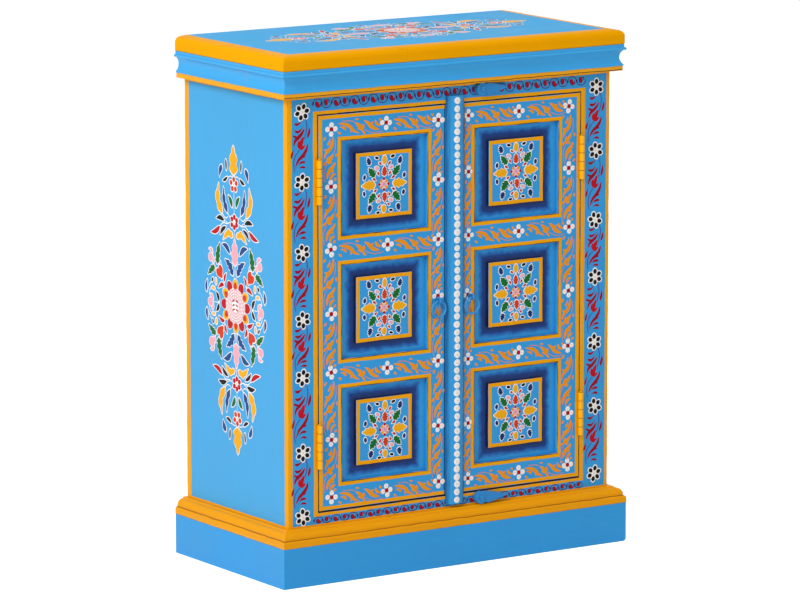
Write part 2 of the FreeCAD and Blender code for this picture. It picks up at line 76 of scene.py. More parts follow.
# The faces that carry paint, and the ends of the boards.
body_half = -side_low[0]
front_y = stile_low[1]
door_y = left_hinge_low[1]
block_y = blocks_low[1]
panel_y = node_box("left_door_panel_top")[0][1]
back_edge = side_high[1]
top_z = top_high[2]
frame_top = cornice_low[2]
frame_bottom = base_high[2]
opening_half = -stile_high[0]
opening_top = node_box("face_rail_top")[0][2]
opening_bottom = node_box("face_rail_bottom")[1][2]
door_bottom, door_top = left_hinge_low[2], left_hinge_high[2]
strip_middle = (strip_low[0] + strip_high[0]) / 2
strip_half = (strip_high[0] - strip_low[0]) / 2
strip_reach = door_y - strip_low[1]

# The panels lie between the stiles and rails of the doors, and a block is in the middle of each.
panel_middle = -(left_hinge_high[0] + left_meeting_low[0]) / 2
panel_levels = [(above[0][2] + below[1][2]) / 2 for above, below in zip(door_rails, door_rails[1:])]
panel_pitch = panel_levels[0] - panel_levels[1]
panel_half_high = (door_rails[0][0][2] - door_rails[1][1][2]) / 2
panel_half_wide = (left_meeting_low[0] - left_hinge_high[0]) / 2
block_half = (blocks_high[0] - blocks_low[0]) / 2

# The hinge, and the heights and widths of the painted bands.
HINGE_LENGTH = 65.0
KNUCKLES = 5
CORNICE_FILLET = 7.0
# The cornice's thin dark brown band near its fillet's lower edge is painted shadow.
CORNICE_SHADOW_LINE = (0.8, 2.2)
BASE_FOOT = 0.5
BASE_STEP = (10.0, 11.2)
TOP_BORDER = 21.0
NAVY_REACH = 22.0

# One blue enamel in lit and shaded copies, as painted light: the side's, the top's and the cornice's are
# lighter, and the front's is darker and more saturated, for how the lamps fall on each face.
SIDE_LIT_BLUE = "#3FA3DC"
FRONT_SHADED_BLUE = "#2E99DA"
TOP_LIT_BLUE = "#38A8E2"
CORNICE_LIT_BLUE = "#3CA8E4"
BUTTON_BLUE = "#2C86CA"
FITTING_BLUE = "#348ECB"
BLOCK_NAVY = "#05285E"
YELLOW = "#F0A400"
AMBER = "#EE9E00"
HINGE_YELLOW = "#FFB400"
WORN = "#BE6E1C"
DARK_OCHRE = "#A86E10"
SHADOW_UMBER = "#6A4312"
ZINC = "#B9B6AE"

# How many patches of a pattern a metre holds along X, Y and Z. Brush ridges are about 1 mm apart and run
# along the board, so they are many across it and few along it.
UPRIGHT = (700, 700, 30)
LEVEL = (30, 30, 700)
DRY_BRUSH = (160, 160, 160)
FLOWER_BRUSH = (350, 350, 350)
POOLED = (260, 260, 260)
PLATED = (900, 900, 900)
CLOUDS = (9, 9, 9)
FLECKS = (420, 420, 420)
WORN_PLACES = (14, 14, 14)
FREE_HAND = (45, 45, 45)
DRAGGED = (100, 100, 100)
EDGE_SHADE_STREAKS = (300, 300, 24)
RIDGE = 0.6


# Materials

def linear(hex_colour):
    """An sRGB hex colour as linear RGBA: each channel c is c / 12.92 up to 0.04045, and
    ((c + 0.055) / 1.055) ** 2.4 above."""
    c = np.array([int(hex_colour[i:i + 2], 16) for i in (1, 3, 5)]) / 255
    c = np.where(c <= 0.04045, c / 12.92, ((c + 0.055) / 1.055) ** 2.4)
    return (*c, 1.0)


def add(material, kind, settings=None, links=None, stops=()):
    """Adds a node. The settings are its own properties, and the links are its inputs: a plain value,
    or the node or socket that feeds them. The stops of a colour ramp are places from 0 to 1, each with
    a hex colour or a grey level."""
    tree = material.node_tree
    made = tree.nodes.new("ShaderNode" + kind)
    for key, value in (settings or {}).items():
        setattr(made, key, value)
    for key, value in (links or {}).items():
        if isinstance(value, bpy.types.Node):
            value = value.outputs[0]
        if isinstance(value, bpy.types.NodeSocket):
            tree.links.new(value, made.inputs[key])
        else:
            made.inputs[key].default_value = value
    if stops:
        points = made.color_ramp.elements
        while len(points) < len(stops):
            points.new(0.5)
        for point, (at, colour) in zip(points, stops):
            point.position = at
            point.color = linear(colour) if isinstance(colour, str) else (colour, colour, colour, 1.0)
    return made


def cleared(owner):
    """A material or a world with an empty node tree."""
    owner.use_nodes = True
    owner.node_tree.nodes.clear()
    return owner


def new_material(name, roughness=0.4, metallic=0.0, gloss=0.2):
    """A material with a Principled surface, and the object's own coordinates to draw its patterns with."""
    material = cleared(bpy.data.materials.new(name))
    surface = add(material, "BsdfPrincipled", links={
        "Roughness": roughness, "Metallic": metallic, "Specular IOR Level": gloss})
    add(material, "OutputMaterial", links={"Surface": surface})
    place = add(material, "TexCoord").outputs["Object"]
    return material, surface, place


def noise(material, place, per_metre, detail=3.0, rough=0.55):
    """Noise from 0 to 1 whose patches are as many to the metre along X, Y and Z as per_metre says."""
    spread = add(material, "Mapping", links={"Vector": place, "Scale": per_metre})
    return add(material, "TexNoise", links={
        "Vector": spread, "Scale": 1.0, "Detail": detail, "Roughness": rough})


def wavered(material, place, measure, per_metre, reach, detail=1.0):
    """A measure that noise shifts by up to the reach either way, as a free hand shifts a line."""
    shift = noise(material, place, per_metre, detail)
    shift = add(material, "MapRange", links={"Value": shift, "To Min": -reach, "To Max": reach})
    return add(material, "Math", {"operation": "ADD"}, {0: measure, 1: shift})


def changed_over(material, measure, start, end, first, second):
    """The first colour where the measure is under the start, the second where it is over the end, and
    a straight blend of both between them."""
    share = add(material, "MapRange", links={"Value": measure, "From Min": start, "From Max": end})
    return add(material, "Mix", {"data_type": "RGBA"}, {0: share, 6: first, 7: second}).outputs[2]


def finish_paint(material, surface, place, colour, brush, fleck=None, bump=0.06):
    """The hand-brushed look of an enamel: cloudy depth, faint streaks along the brush, a few worn flecks,
    and the low ridges that the bristles leave. It is a little duller where the cloud is light."""
    cloud = noise(material, place, CLOUDS)
    streak = noise(material, place, brush, detail=2.0)
    shade = add(material, "Math", {"operation": "ADD"}, {0: cloud, 1: streak})
    shade = add(material, "Math", {"operation": "MULTIPLY"}, {0: shade, 1: 0.5})
    level = add(material, "ValToRGB", None, {"Fac": shade}, [(0.30, 0.90), (0.70, 1.0)])
    toned = add(material, "Mix", {"data_type": "RGBA", "blend_type": "MULTIPLY"},
                {0: 1.0, 6: colour, 7: level}).outputs[2]
    if fleck:
        # Flecks of 1 to 2 mm where the yellow coat is thin and the brown ground shows.
        spots = noise(material, place, FLECKS, detail=1.0)
        patches = noise(material, place, WORN_PLACES, detail=1.0)
        both = add(material, "Math", {"operation": "MULTIPLY"}, {0: spots, 1: patches})
        toned = changed_over(material, both, 0.475, 0.51, toned, linear(fleck))
    dull = surface.inputs["Roughness"].default_value
    sheen = add(material, "ValToRGB", None, {"Fac": cloud}, [(0.3, dull - 0.06), (0.7, dull + 0.06)])
    ridges = add(material, "Bump", links={"Strength": bump, "Distance": RIDGE * MM, "Height": streak})
    tree = material.node_tree
    tree.links.new(toned, surface.inputs["Base Color"])
    tree.links.new(sheen.outputs[0], surface.inputs["Roughness"])
    tree.links.new(ridges.outputs[0], surface.inputs["Normal"])
    return material


def grain(material, place, brush):
    """Grain of mango wood: bands a few millimetres wide drawn out along the board, with fine dark pores."""
    bands = noise(material, place, tuple(0.25 * many for many in brush), detail=4.0, rough=0.6)
    return add(material, "ValToRGB", None, {"Fac": bands},
               [(0.25, "#6E4A2C"), (0.5, "#9A7148"), (0.75, "#B58C5E")])


def enamel(name, colour, brush, gloss=0.2):
    """Brushed oil enamel in one colour: an even, slightly glossy coat with bristle marks."""
    material, surface, place = new_material(name, gloss=gloss)
    return finish_paint(material, surface, place, linear(colour), brush)


def panel_enamel():
    """Blue enamel shaded to navy round each raised block, as if dry-brushed outwards from it, and bare
    wood behind. The shade follows the larger of | |x| - middle | and |z folded at the pitch|, from half
    a block on, and the brush drags it up to 3 mm in and out, in streaks about 10 mm wide."""
    material, surface, place = new_material("shaded enamel of the panels")
    xyz = add(material, "SeparateXYZ", links={0: place})
    across = add(material, "Math", {"operation": "ABSOLUTE"}, {0: xyz.outputs[0]})
    across = add(material, "Math", {"operation": "SUBTRACT"}, {0: across, 1: panel_middle * MM})
    across = add(material, "Math", {"operation": "ABSOLUTE"}, {0: across})
    middle = panel_levels[1] * MM
    half_pitch = panel_pitch / 2 * MM
    up = add(material, "Math", {"operation": "WRAP"},
             {0: xyz.outputs[2], 1: middle + half_pitch, 2: middle - half_pitch})
    up = add(material, "Math", {"operation": "SUBTRACT"}, {0: up, 1: middle})
    up = add(material, "Math", {"operation": "ABSOLUTE"}, {0: up})
    reach = add(material, "Math", {"operation": "MAXIMUM"}, {0: across, 1: up})
    reach = wavered(material, place, reach, DRAGGED, 3 * MM)
    band = add(material, "MapRange", links={
        "Value": reach, "From Min": block_half * MM, "From Max": (block_half + NAVY_REACH) * MM})
    shaded = add(material, "ValToRGB", None, {"Fac": band}, [
        (0.0, "#02204E"), (0.40, "#063880"), (0.60, "#1F70BA"), (0.78, FRONT_SHADED_BLUE)])
    colour = changed_over(material, xyz.outputs[1], (panel_y + 3) * MM, (panel_y + 4) * MM,
                          shaded, grain(material, place, UPRIGHT))
    return finish_paint(material, surface, place, colour, DRY_BRUSH, bump=0.05)


def two_tone(name, first, second, measure, switch, brush, fleck=None, gloss=0.2):
    """Enamel in two colours that meet on a hand-cut line: first where the measured coordinate is under
    the switch, and second above. The line wavers by up to 1.2 mm."""
    material, surface, place = new_material(name, gloss=gloss)
    value = measure(material, add(material, "SeparateXYZ", links={0: place}))
    value = wavered(material, place, value, FREE_HAND, 1.2 * MM)
    colour = changed_over(material, value, (switch - 0.3) * MM, (switch + 0.3) * MM,
                          linear(first), linear(second))
    return finish_paint(material, surface, place, colour, brush, fleck)


def banded_enamel(name, low, high, bands, gloss=0.2):
    """Enamel of a moulding whose colour changes at set heights over its lower edge, each on a line that
    wavers by up to 0.8 mm. The bands are pairs of a height and the colour from there up."""
    material, surface, place = new_material(name, gloss=gloss)
    height = add(material, "SeparateXYZ", links={0: place}).outputs[2]
    height = wavered(material, place, height, FREE_HAND, 0.8 * MM)
    height = add(material, "MapRange", links={"Value": height, "From Min": low * MM, "From Max": high * MM})
    colour = add(material, "ValToRGB", None, {"Fac": height},
                 [(start / (high - low), hex_colour) for start, hex_colour in bands])
    colour.color_ramp.interpolation = "CONSTANT"
    return finish_paint(material, surface, place, colour, LEVEL, WORN)


def raised_block_enamel():
    """The blocks: the front's blue on their faces, and the panels' navy on their sides, which start
    1.2 mm behind the face. The navy on the sides is partly the panels' paint carried on and partly painted
    shade."""
    def depth(material, xyz):
        """The measure is y."""
        return xyz.outputs[1]
    return two_tone("blue and navy enamel of the blocks", FRONT_SHADED_BLUE, BLOCK_NAVY, depth,
                    block_y + 1.2, UPRIGHT)


def top_enamel():
    """Blue enamel with a yellow border on the front and both ends, down over the nose."""
    def border(material, xyz):
        """The measure is the larger of |x| - half width and front - y: over the switch in the border."""
        ends = add(material, "Math", {"operation": "ABSOLUTE"}, {0: xyz.outputs[0]})
        ends = add(material, "Math", {"operation": "SUBTRACT"}, {0: ends, 1: top_high[0] * MM})
        fore = add(material, "Math", {"operation": "SUBTRACT"}, {0: top_low[1] * MM, 1: xyz.outputs[1]})
        return add(material, "Math", {"operation": "MAXIMUM"}, {0: ends, 1: fore})
    # The top's blue is its lit copy of the enamel: painted light.
    return two_tone("blue and yellow enamel of the top", TOP_LIT_BLUE, YELLOW, border, -TOP_BORDER, LEVEL,
                    WORN, gloss=0.02)


def bare_behind(material, place, brush, painted, front, edge):
    """The painted colour in front, and bare wood from the back of the first millimetre on: on the back of
    a board, and on its edges where the edge measure is over minus half a millimetre."""
    y = add(material, "SeparateXYZ", links={0: place}).outputs[1]
    behind = add(material, "MapRange", links={
        "Value": y, "From Min": (front + 0.8) * MM, "From Max": (front + 1.4) * MM})
    at_edge = add(material, "MapRange", links={"Value": edge, "From Min": -0.6 * MM, "From Max": -0.4 * MM})
    bare = add(material, "Math", {"operation": "MULTIPLY"}, {0: behind, 1: at_edge})
    return add(material, "Mix", {"data_type": "RGBA"},
               {0: bare, 6: painted, 7: grain(material, place, brush)}).outputs[2]


def door_enamel(name, brush):
    """Enamel on the front of a door board and the fore part of the edges where the doors meet and the
    panels sit. Bare planed wood on the door's other outer edges and on all that lies behind the panels.
    The edge measure is the largest of |x| - hinge edge, |z - middle| - half height and y - panel's
    middle."""
    material, surface, place = new_material(name)
    xyz = add(material, "SeparateXYZ", links={0: place})
    across = add(material, "Math", {"operation": "ABSOLUTE"}, {0: xyz.outputs[0]})
    edge = add(material, "Math", {"operation": "SUBTRACT"}, {0: across, 1: -left_hinge_low[0] * MM})
    up = add(material, "Math", {"operation": "SUBTRACT"},
             {0: xyz.outputs[2], 1: (door_top + door_bottom) / 2 * MM})
    up = add(material, "Math", {"operation": "ABSOLUTE"}, {0: up})
    up = add(material, "Math", {"operation": "SUBTRACT"}, {0: up, 1: (door_top - door_bottom) / 2 * MM})
    back = add(material, "Math", {"operation": "SUBTRACT"}, {0: xyz.outputs[1], 1: (panel_y + 3.5) * MM})
    for other in (up, back):
        edge = add(material, "Math", {"operation": "MAXIMUM"}, {0: edge, 1: other})
    colour = bare_behind(material, place, brush, linear(FRONT_SHADED_BLUE), door_y, edge)
    return finish_paint(material, surface, place, colour, brush)


def side_board_enamel():
    """Enamel on the outside of the side panels, and bare wood inside, from 1 mm under the surface on. The
    measure is |x|."""
    material, surface, place = new_material("blue enamel of the sides")
    x = add(material, "SeparateXYZ", links={0: place}).outputs[0]
    across = add(material, "Math", {"operation": "ABSOLUTE"}, {0: x})
    # Outside, the side's lit copy of the blue: painted light.
    colour = changed_over(material, across, (body_half - 1.5) * MM, (body_half - 1) * MM,
                          grain(material, place, UPRIGHT), linear(SIDE_LIT_BLUE))
    return finish_paint(material, surface, place, colour, UPRIGHT)


def frame_enamel(name, brush):
    """Enamel on the face frame: the front's blue in front, the side's blue on its outer edges, and bare
    wood on the edges of the opening. The edge measure is half width - 1 - |x|."""
    material, surface, place = new_material(name)
    x = add(material, "SeparateXYZ", links={0: place}).outputs[0]
    across = add(material, "Math", {"operation": "ABSOLUTE"}, {0: x})
    # The front's shaded copy of the blue in front, and the side's lit copy on the outer edges: painted
    # light.
    blue = changed_over(material, across, (body_half - 0.3) * MM, (body_half - 0.1) * MM,
                        linear(FRONT_SHADED_BLUE), linear(SIDE_LIT_BLUE))
    edge = add(material, "Math", {"operation": "SUBTRACT"}, {0: (body_half - 1) * MM, 1: across})
    colour = bare_behind(material, place, brush, blue, front_y, edge)
    return finish_paint(material, surface, place, colour, brush)


def edge_shaded_enamel():
    """The strip's blue, darker in streaks towards both edges: painted shade on the flanks of the
    half-round.
    The measure is |x - middle| in half widths, which the streaks shift by up to a quarter."""
    material, surface, place = new_material("blue enamel of the strip, shaded at its edges")
    x = add(material, "SeparateXYZ", links={0: place}).outputs[0]
    away = add(material, "Math", {"operation": "SUBTRACT"}, {0: x, 1: strip_middle * MM})
    away = add(material, "Math", {"operation": "ABSOLUTE"}, {0: away})
    away = add(material, "Math", {"operation": "DIVIDE"}, {0: away, 1: strip_half * MM})
    away = wavered(material, place, away, EDGE_SHADE_STREAKS, 0.25, detail=2.0)
    colour = add(material, "ValToRGB", None, {"Fac": away},
                 [(0.55, FRONT_SHADED_BLUE), (0.80, "#2580BC"), (0.97, "#1B5F94")])
    return finish_paint(material, surface, place, colour, UPRIGHT)


def hinge_enamel():
    """The yellow enamel of the hinges, with the dark joints between their five knuckles. The measure is
    | |z - middle| - half spread | folded at the knuckle's length, as the joints lie even from both ends."""
    material, surface, place = new_material("yellow enamel on steel", 0.3)
    low, high = hinge_low[2], hinge_high[2]
    z = add(material, "SeparateXYZ", links={0: place}).outputs[2]
    away = add(material, "Math", {"operation": "SUBTRACT"}, {0: z, 1: (low + high) / 2 * MM})
    away = add(material, "Math", {"operation": "ABSOLUTE"}, {0: away})
    away = add(material, "Math", {"operation": "SUBTRACT"}, {0: away, 1: (high - low) / 2 * MM})
    half = HINGE_LENGTH / KNUCKLES / 2 * MM
    joint = add(material, "Math", {"operation": "WRAP"}, {0: away, 1: half, 2: -half})
    joint = add(material, "Math", {"operation": "ABSOLUTE"}, {0: joint})
    colour = changed_over(material, joint, 0.25 * MM, 0.75 * MM, linear(DARK_OCHRE), linear(HINGE_YELLOW))
    return finish_paint(material, surface, place, colour, POOLED, bump=0.08)


def painted_steel(name, colour):
    """Steel fitting under a coat of enamel: smoother than the wood and a little pooled."""
    material, surface, place = new_material(name, 0.3)
    return finish_paint(material, surface, place, linear(colour), POOLED, bump=0.08)


def screw_steel():
    """Bright zinc-plated steel screws, with the fine scatter of the plating."""
    material, surface, place = new_material("zinc-plated steel", 0.35, metallic=1.0)
    return finish_paint(material, surface, place, linear(ZINC), PLATED, bump=0.03)


def planed_wood(name, brush):
    """Unpainted planed mango wood: warm brown, dull, with its grain along the board."""
    material, surface, place = new_material(name, 0.6)
    return finish_paint(material, surface, place, grain(material, place, brush), brush, bump=0.1)


side_enamel = side_board_enamel()
frame_upright = frame_enamel("blue enamel of the stiles", UPRIGHT)
frame_level = frame_enamel("blue enamel of the rails", LEVEL)
door_upright = door_enamel("blue enamel of the door stiles", UPRIGHT)
door_level = door_enamel("blue enamel of the door rails", LEVEL)
panel_blue = panel_enamel()
block_enamel = raised_block_enamel()
strip_enamel = edge_shaded_enamel()
plinth_enamel = enamel("blue enamel of the plinth", FRONT_SHADED_BLUE, LEVEL)
button_paint = enamel("blue enamel of the buttons", BUTTON_BLUE, UPRIGHT)
# The front of the cornice carries a thin dark brown band near the fillet's lower edge: painted shadow under
# the fillet.
cornice_paint = banded_enamel("blue and yellow enamel of the cornice", cornice_low[2], cornice_high[2], [
    (0.0, YELLOW), (CORNICE_SHADOW_LINE[0], SHADOW_UMBER), (CORNICE_SHADOW_LINE[1], YELLOW), (CORNICE_FILLET, CORNICE_LIT_BLUE)])
# Both cornice paints take the cornice's lit copy of the blue: painted light.
cornice_end_paint = banded_enamel("blue and yellow enamel of the cornice ends", cornice_low[2],
                                  cornice_high[2], [(0.0, YELLOW), (CORNICE_FILLET, CORNICE_LIT_BLUE)])
# The base moulding is darker brown along its foot and in a band at its step.
base_paint = banded_enamel("yellow enamel of the base moulding", base_low[2], base_high[2], [
    (0.0, DARK_OCHRE), (BASE_FOOT, AMBER), (BASE_STEP[0], DARK_OCHRE), (BASE_STEP[1], AMBER)], gloss=0.1)
top_paint = top_enamel()
hinge_paint = hinge_enamel()
ring_paint = painted_steel("blue enamel on steel", FITTING_BLUE)
zinc = screw_steel()
bare_upright = planed_wood("planed mango wood, upright", UPRIGHT)
bare_level = planed_wood("planed mango wood, level", LEVEL)

# The nodes of each finish, for the carcass and its fittings and for either door.
FINISHES = (
    (plinth_enamel, ("plinth_front", "plinth_left", "plinth_right")),
    (base_paint, ("base_moulding_front", "base_moulding_left", "base_moulding_right")),
    (side_enamel, ("side_panel_left", "side_panel_right")),
    (frame_upright, ("face_stile_left", "face_stile_right")),
    (frame_level, ("face_rail_top", "face_rail_bottom")),
    (cornice_paint, ("cornice_front",)),
    (cornice_end_paint, ("cornice_left", "cornice_right")),
    (top_paint, ("top_board",)),
    (strip_enamel, ("centre_strip",)),
    (bare_upright, ("back_panel",)),
    (bare_level, ("plinth_back", "bottom_board", "top_door_stop", "shelf", "shelf_cleat_left",
                  "shelf_cleat_right")),
    (hinge_paint, ("hinge_frame_leaves", "hinge_pins")),
    (zinc, ("hinge_frame_screws",)),
    (button_paint, ("top_turn_button", "bottom_turn_button")),
    (ring_paint, ("left_ring", "right_ring", "turn_button_washers", "turn_button_screws")),
)
DOOR_FINISHES = (
    (door_upright, ("hinge_stile", "meeting_stile")),
    (door_level, ("rail_top", "rail_upper", "rail_lower", "rail_bottom")),
    (panel_blue, ("panel_top", "panel_middle", "panel_bottom")),
    (block_enamel, ("panel_blocks",)),
    (hinge_paint, ("hinge_leaves",)),
    (zinc, ("hinge_screws",)),
    (ring_paint, ("ring_eye",)),
)
for prefix, finishes in (("", FINISHES), ("left_door_", DOOR_FINISHES), ("right_door_", DOOR_FINISHES)):
    for finish, names in finishes:
        for name in names:
            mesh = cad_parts[prefix + name].data
            mesh.materials.clear()
            mesh.materials.append(finish)


# Painted ornament

# The paints of the flowers. Each is an opaque oil enamel, put on with a soft pointed brush.
PAINTS = {
    "white": "#F6F1EC", "yellow": YELLOW, "gold": "#F2AC12", "orange": "#EE9410", "vermilion": "#D43C14",
    "red": "#BC0E1E", "crimson": "#9A0A22", "dark red": "#A80A16", "umber": "#4A3010", "purple": "#452468",
    "violet": "#54468E", "rose": "#C98C86", "pink": "#F0A9B6", "blush": "#E6B6BE", "peach": "#F0B868",
    "cream": "#EBDCC4", "green": "#0F6A2C", "navy": "#143166", "leaf blue": "#1F4884",
    "black": "#0D0D12", "brown": "#8A5A3A", "lavender": "#A79BB5",
}
paints = {name: enamel(name + " enamel of the ornament", colour, FLOWER_BRUSH, gloss=0.08)
          for name, colour in PAINTS.items()}
paint_order = list(paints)

# A mark's outline: its half width is sin(pi * t ** belly) ** fullness of the full half width, where t runs
# from 0 at its root to 1 at its tip, and teeth cut its sides into lobes that point to the tip.
SHAPES = {
    "petal": (0.5, 1.0, 0), "leaf": (0.9, 0.85, 0), "brush": (0.7, 0.95, 0), "drop": (0.7, 1.7, 0),
    "stem": (0.15, 1.0, 0), "jagged": (0.75, 0.75, 3), "flame": (0.8, 0.7, 2),
}

# The thickness of a film of paint, how far its edge sinks in, and the width of the white round a mark.
FILM = 0.12
SINK = 0.03
RIM = 1.55
BLOCK_RIM = 1.3
DAISY_RIM = 1.8
ROSETTE_RIM = 1.2

# The spacing of a mark's points, the width from which it has five across, and the half width that is full
# height.
MARK_STEP = 1.6
BROAD_MARK = 2.4
FULL_HALF = 0.75


class Painting:
    """The ornament on one face. Each mark of the brush is a thin raised film of enamel, and all the marks
    of the face are one mesh, with a material slot for each paint."""

    def __init__(self, name, body, ground, slot):
        """An empty painting that rides on the body. The ground gives a point's place on the face."""
        self.name, self.body, self.ground, self.slot = name, body, ground, slot
        self.points, self.faces, self.colours = [], [], []
        self.total = 0

    def film(self, u, v, h, colour):
        """Adds a grid of points, rows by columns, as quads of one colour."""
        rows, columns = u.shape
        x, y, z = self.ground(u, v, h)
        self.points.append(np.stack(np.broadcast_arrays(x, y, z), axis=-1).reshape(-1, 3))
        index = self.total + np.arange(rows * columns).reshape(rows, columns)
        quads = np.stack([index[:-1, :-1], index[1:, :-1], index[1:, 1:], index[:-1, 1:]], axis=-1)
        self.faces.append(quads.reshape(-1, 4))
        self.colours.append(np.full((rows - 1) * (columns - 1), paint_order.index(colour)))
        self.total += rows * columns

    def finish(self):
        """Makes one mesh of all the films, in metres, and lets it ride on its body."""
        mesh = bpy.data.meshes.new(self.name)
        points = np.concatenate(self.points) * MM
        mesh.from_pydata(points.tolist(), [], np.concatenate(self.faces).tolist())
        colours = np.concatenate(self.colours)
        used = np.unique(colours)
        for colour in used:
            mesh.materials.append(paints[paint_order[colour]])
        mesh.polygons.foreach_set("material_index", np.searchsorted(used, colours).astype(np.int32))
        mesh.polygons.foreach_set("use_smooth", np.ones(len(colours), bool))
        mesh.update()
        piece = into_scene(self.name, mesh)
        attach(piece, self.body)


def moved(points, spot):
    """Points of a motif brought to its spot (u, v, turn in degrees, flip): mirrored left to right where
    flip is -1, turned, then shifted."""
    u, v, turn, flip = spot
    points = np.atleast_2d(np.asarray(points, float)) * (flip, 1)
    cos, sin = np.cos(np.radians(turn)), np.sin(np.radians(turn))
    return points @ np.array([(cos, sin), (-sin, cos)]) + (u, v)


def through(points, t):
    """A smooth line through a few points: every stretch is the Catmull-Rom cubic of its four neighbours,
    0.5 * (2b + (c - a)f + (2a - 5b + 4c - d)f^2 + (3b - a - 3c + d)f^3), f from 0 to 1 between b and c."""
    p = np.vstack([2 * points[0] - points[1], points, 2 * points[-1] - points[-2]])
    along = t * (len(p) - 3)
    i = np.minimum(along.astype(int), len(p) - 4)
    f = (along - i)[:, None]
    a, b, c, d = p[i], p[i + 1], p[i + 2], p[i + 3]
    return 0.5 * (2 * b + (c - a) * f + (2 * a - 5 * b + 4 * c - d) * f ** 2
                  + (3 * b - a - 3 * c + d) * f ** 3)


def film_height(level, edge, tip):
    """Height of a film of one level: it rises from just under the level's ground to a flat crown, as
    1 - edge^4, and dies away where the mark is thinner than a millimetre and a half."""
    return FILM * level - SINK + (FILM + SINK) * (1 - edge ** 4) * tip


def mark(painting, points, width, colour, level, shape, rim=0.0):
    """One mark of the brush along a smooth line from its root to its tip, which the rim lengthens at both
    ends. Its points are spine + left * half width * s, where s runs from -1 to 1 and half width swells
    as SHAPES says. Lobes multiply it by 0.66 + 0.42 * sin(pi * f^1.5), f from 0 to 1 along each lobe."""
    fullness, belly, teeth = SHAPES[shape]
    points = np.asarray(points, float)
    length = np.linalg.norm(np.diff(points, axis=0), axis=1).sum()
    if rim:
        ahead = (points[-1] - points[-2]) / np.linalg.norm(points[-1] - points[-2])
        behind = (points[0] - points[1]) / np.linalg.norm(points[0] - points[1])
        points = np.vstack([points[0] + rim * behind, points[1:-1], points[-1] + rim * ahead])
    rows = 7 * teeth + 5 if teeth else int(np.clip(length / MARK_STEP, 7, 20))
    t = np.linspace(0, 1, rows) if teeth else 0.5 - 0.5 * np.cos(np.pi * np.linspace(0, 1, rows))
    swell = np.sin(np.pi * np.clip(t, 0.001, 0.999) ** belly)
    half = width / 2 * swell ** fullness
    if teeth:
        half = half * (0.66 + 0.42 * np.sin(np.pi * np.mod(t * (teeth + 0.6), 1.0) ** 1.5))
    half = half + rim * swell ** 0.3 + 0.06
    spine = through(points, t)
    run = np.gradient(spine, axis=0)
    run = run / np.maximum(np.linalg.norm(run, axis=1, keepdims=True), 1e-9)
    s = np.array([-1.0, -0.7, 0.0, 0.7, 1.0]) if width > BROAD_MARK else np.array([-1.0, 0.0, 1.0])
    u = spine[:, :1] - run[:, 1:] * half[:, None] * s
    v = spine[:, 1:] + run[:, :1] * half[:, None] * s
    tip = np.minimum(1.0, half / FULL_HALF)[:, None]
    painting.film(u, v, film_height(level, np.abs(s), tip), colour)


def dab(painting, centre, radius, colour, level, lobes=0, depth=0.0, turn=0.0, grid=7):
    """A round dab of paint, worked out on a square grid of a and b from -1 to 1 laid on the disc:
    (a * sqrt(1 - b^2 / 2), b * sqrt(1 - a^2 / 2)). Its radius is 1 + depth * cos(lobes * angle)."""
    a, b = np.meshgrid(np.linspace(-1, 1, grid), np.linspace(-1, 1, grid), indexing="ij")
    x, y = a * np.sqrt(1 - b ** 2 / 2), b * np.sqrt(1 - a ** 2 / 2)
    edge = np.hypot(x, y)
    wave = 1 + depth * np.cos(lobes * (np.arctan2(y, x) - np.radians(turn)))
    u = centre[0] + radius * x * wave
    v = centre[1] + radius * y * wave
    painting.film(u, v, film_height(level, np.minimum(edge, 1), 1.0), colour)


def shaky(spot, turn):
    """The same spot with the small slip of a free hand, and a chance turn of about the given degrees."""
    u, v, angle, flip = spot
    slip = hand.normal(0, 0.35, 2)
    return (u + slip[0], v + slip[1], angle + hand.normal(0, turn), flip)


def motif(painting, marks, spot, rim=0.0):
    """Paints a list of marks (colour, shape, width, points...) at a spot, each one over its own white
    ground where there is a rim."""
    for colour, shape, width, *points in marks:
        placed = moved(points, spot) + hand.normal(0, 0.2, 2)
        width = width * (1 + hand.normal(0, 0.05))
        if shape == "dab":
            if rim:
                dab(painting, placed[0], width / 2 + rim, "white", 0)
            dab(painting, placed[0], width / 2, colour, 1)
            continue
        if rim and colour != "white":
            mark(painting, placed, width, "white", 0, shape, rim)
        mark(painting, placed, width, colour, 0 if colour == "white" else 1, shape)


def line(painting, start, end, width, colour="yellow", level=0):
    """A long ruled line, whose points are start + run * along + left * s * width / 2, s from -1 to 1. Both
    its edges waver by up to 0.4 mm, as the sum of two sine waves about 70 and 28 mm long."""
    start, end = np.array(start, float), np.array(end, float)
    length = np.linalg.norm(end - start)
    along = np.linspace(0, length, max(4, int(length / 9)))
    run = (end - start) / length
    phase = hand.uniform(0, 2 * np.pi, 4)
    left = 0.22 * np.sin(along / 11 + phase[0]) + 0.16 * np.sin(along / 4.3 + phase[1])
    right = 0.22 * np.sin(along / 12 + phase[2]) + 0.16 * np.sin(along / 4.7 + phase[3])
    s = np.array([-1.0, -0.8, 0.0, 0.8, 1.0])
    waver = np.where(s < 0, left[:, None], 0) + np.where(s > 0, right[:, None], 0)
    across = s * width / 2 + waver * abs(s)
    u = start[0] + run[0] * along[:, None] - run[1] * across
    v = start[1] + run[1] * along[:, None] + run[0] * across
    painting.film(u, v, np.broadcast_to(film_height(level, np.abs(s), 1.0), u.shape), colour)


def ruled_frame(painting, middle, half_size, width, colour="yellow", level=0):
    """Four lines inside a rectangle round a middle: the uprights lie over the levels at the corners."""
    (u, v), (wide, high) = middle, half_size
    half = width / 2
    for side in (-1, 1):
        at = v + side * (high - half)
        line(painting, (u - wide, at), (u + wide, at), width, colour, level)
    for side in (-1, 1):
        at = u + side * (wide - half)
        line(painting, (at, v - high), (at, v + high), width, colour, level + 0.3)


# The faces that carry ornament. Each gives the place of a point from u, v and the height of the paint.

def on_front(u, v, h):
    """The face frame: x is u, z is v, and y is the frame's front less the height."""
    return u, front_y - h, v


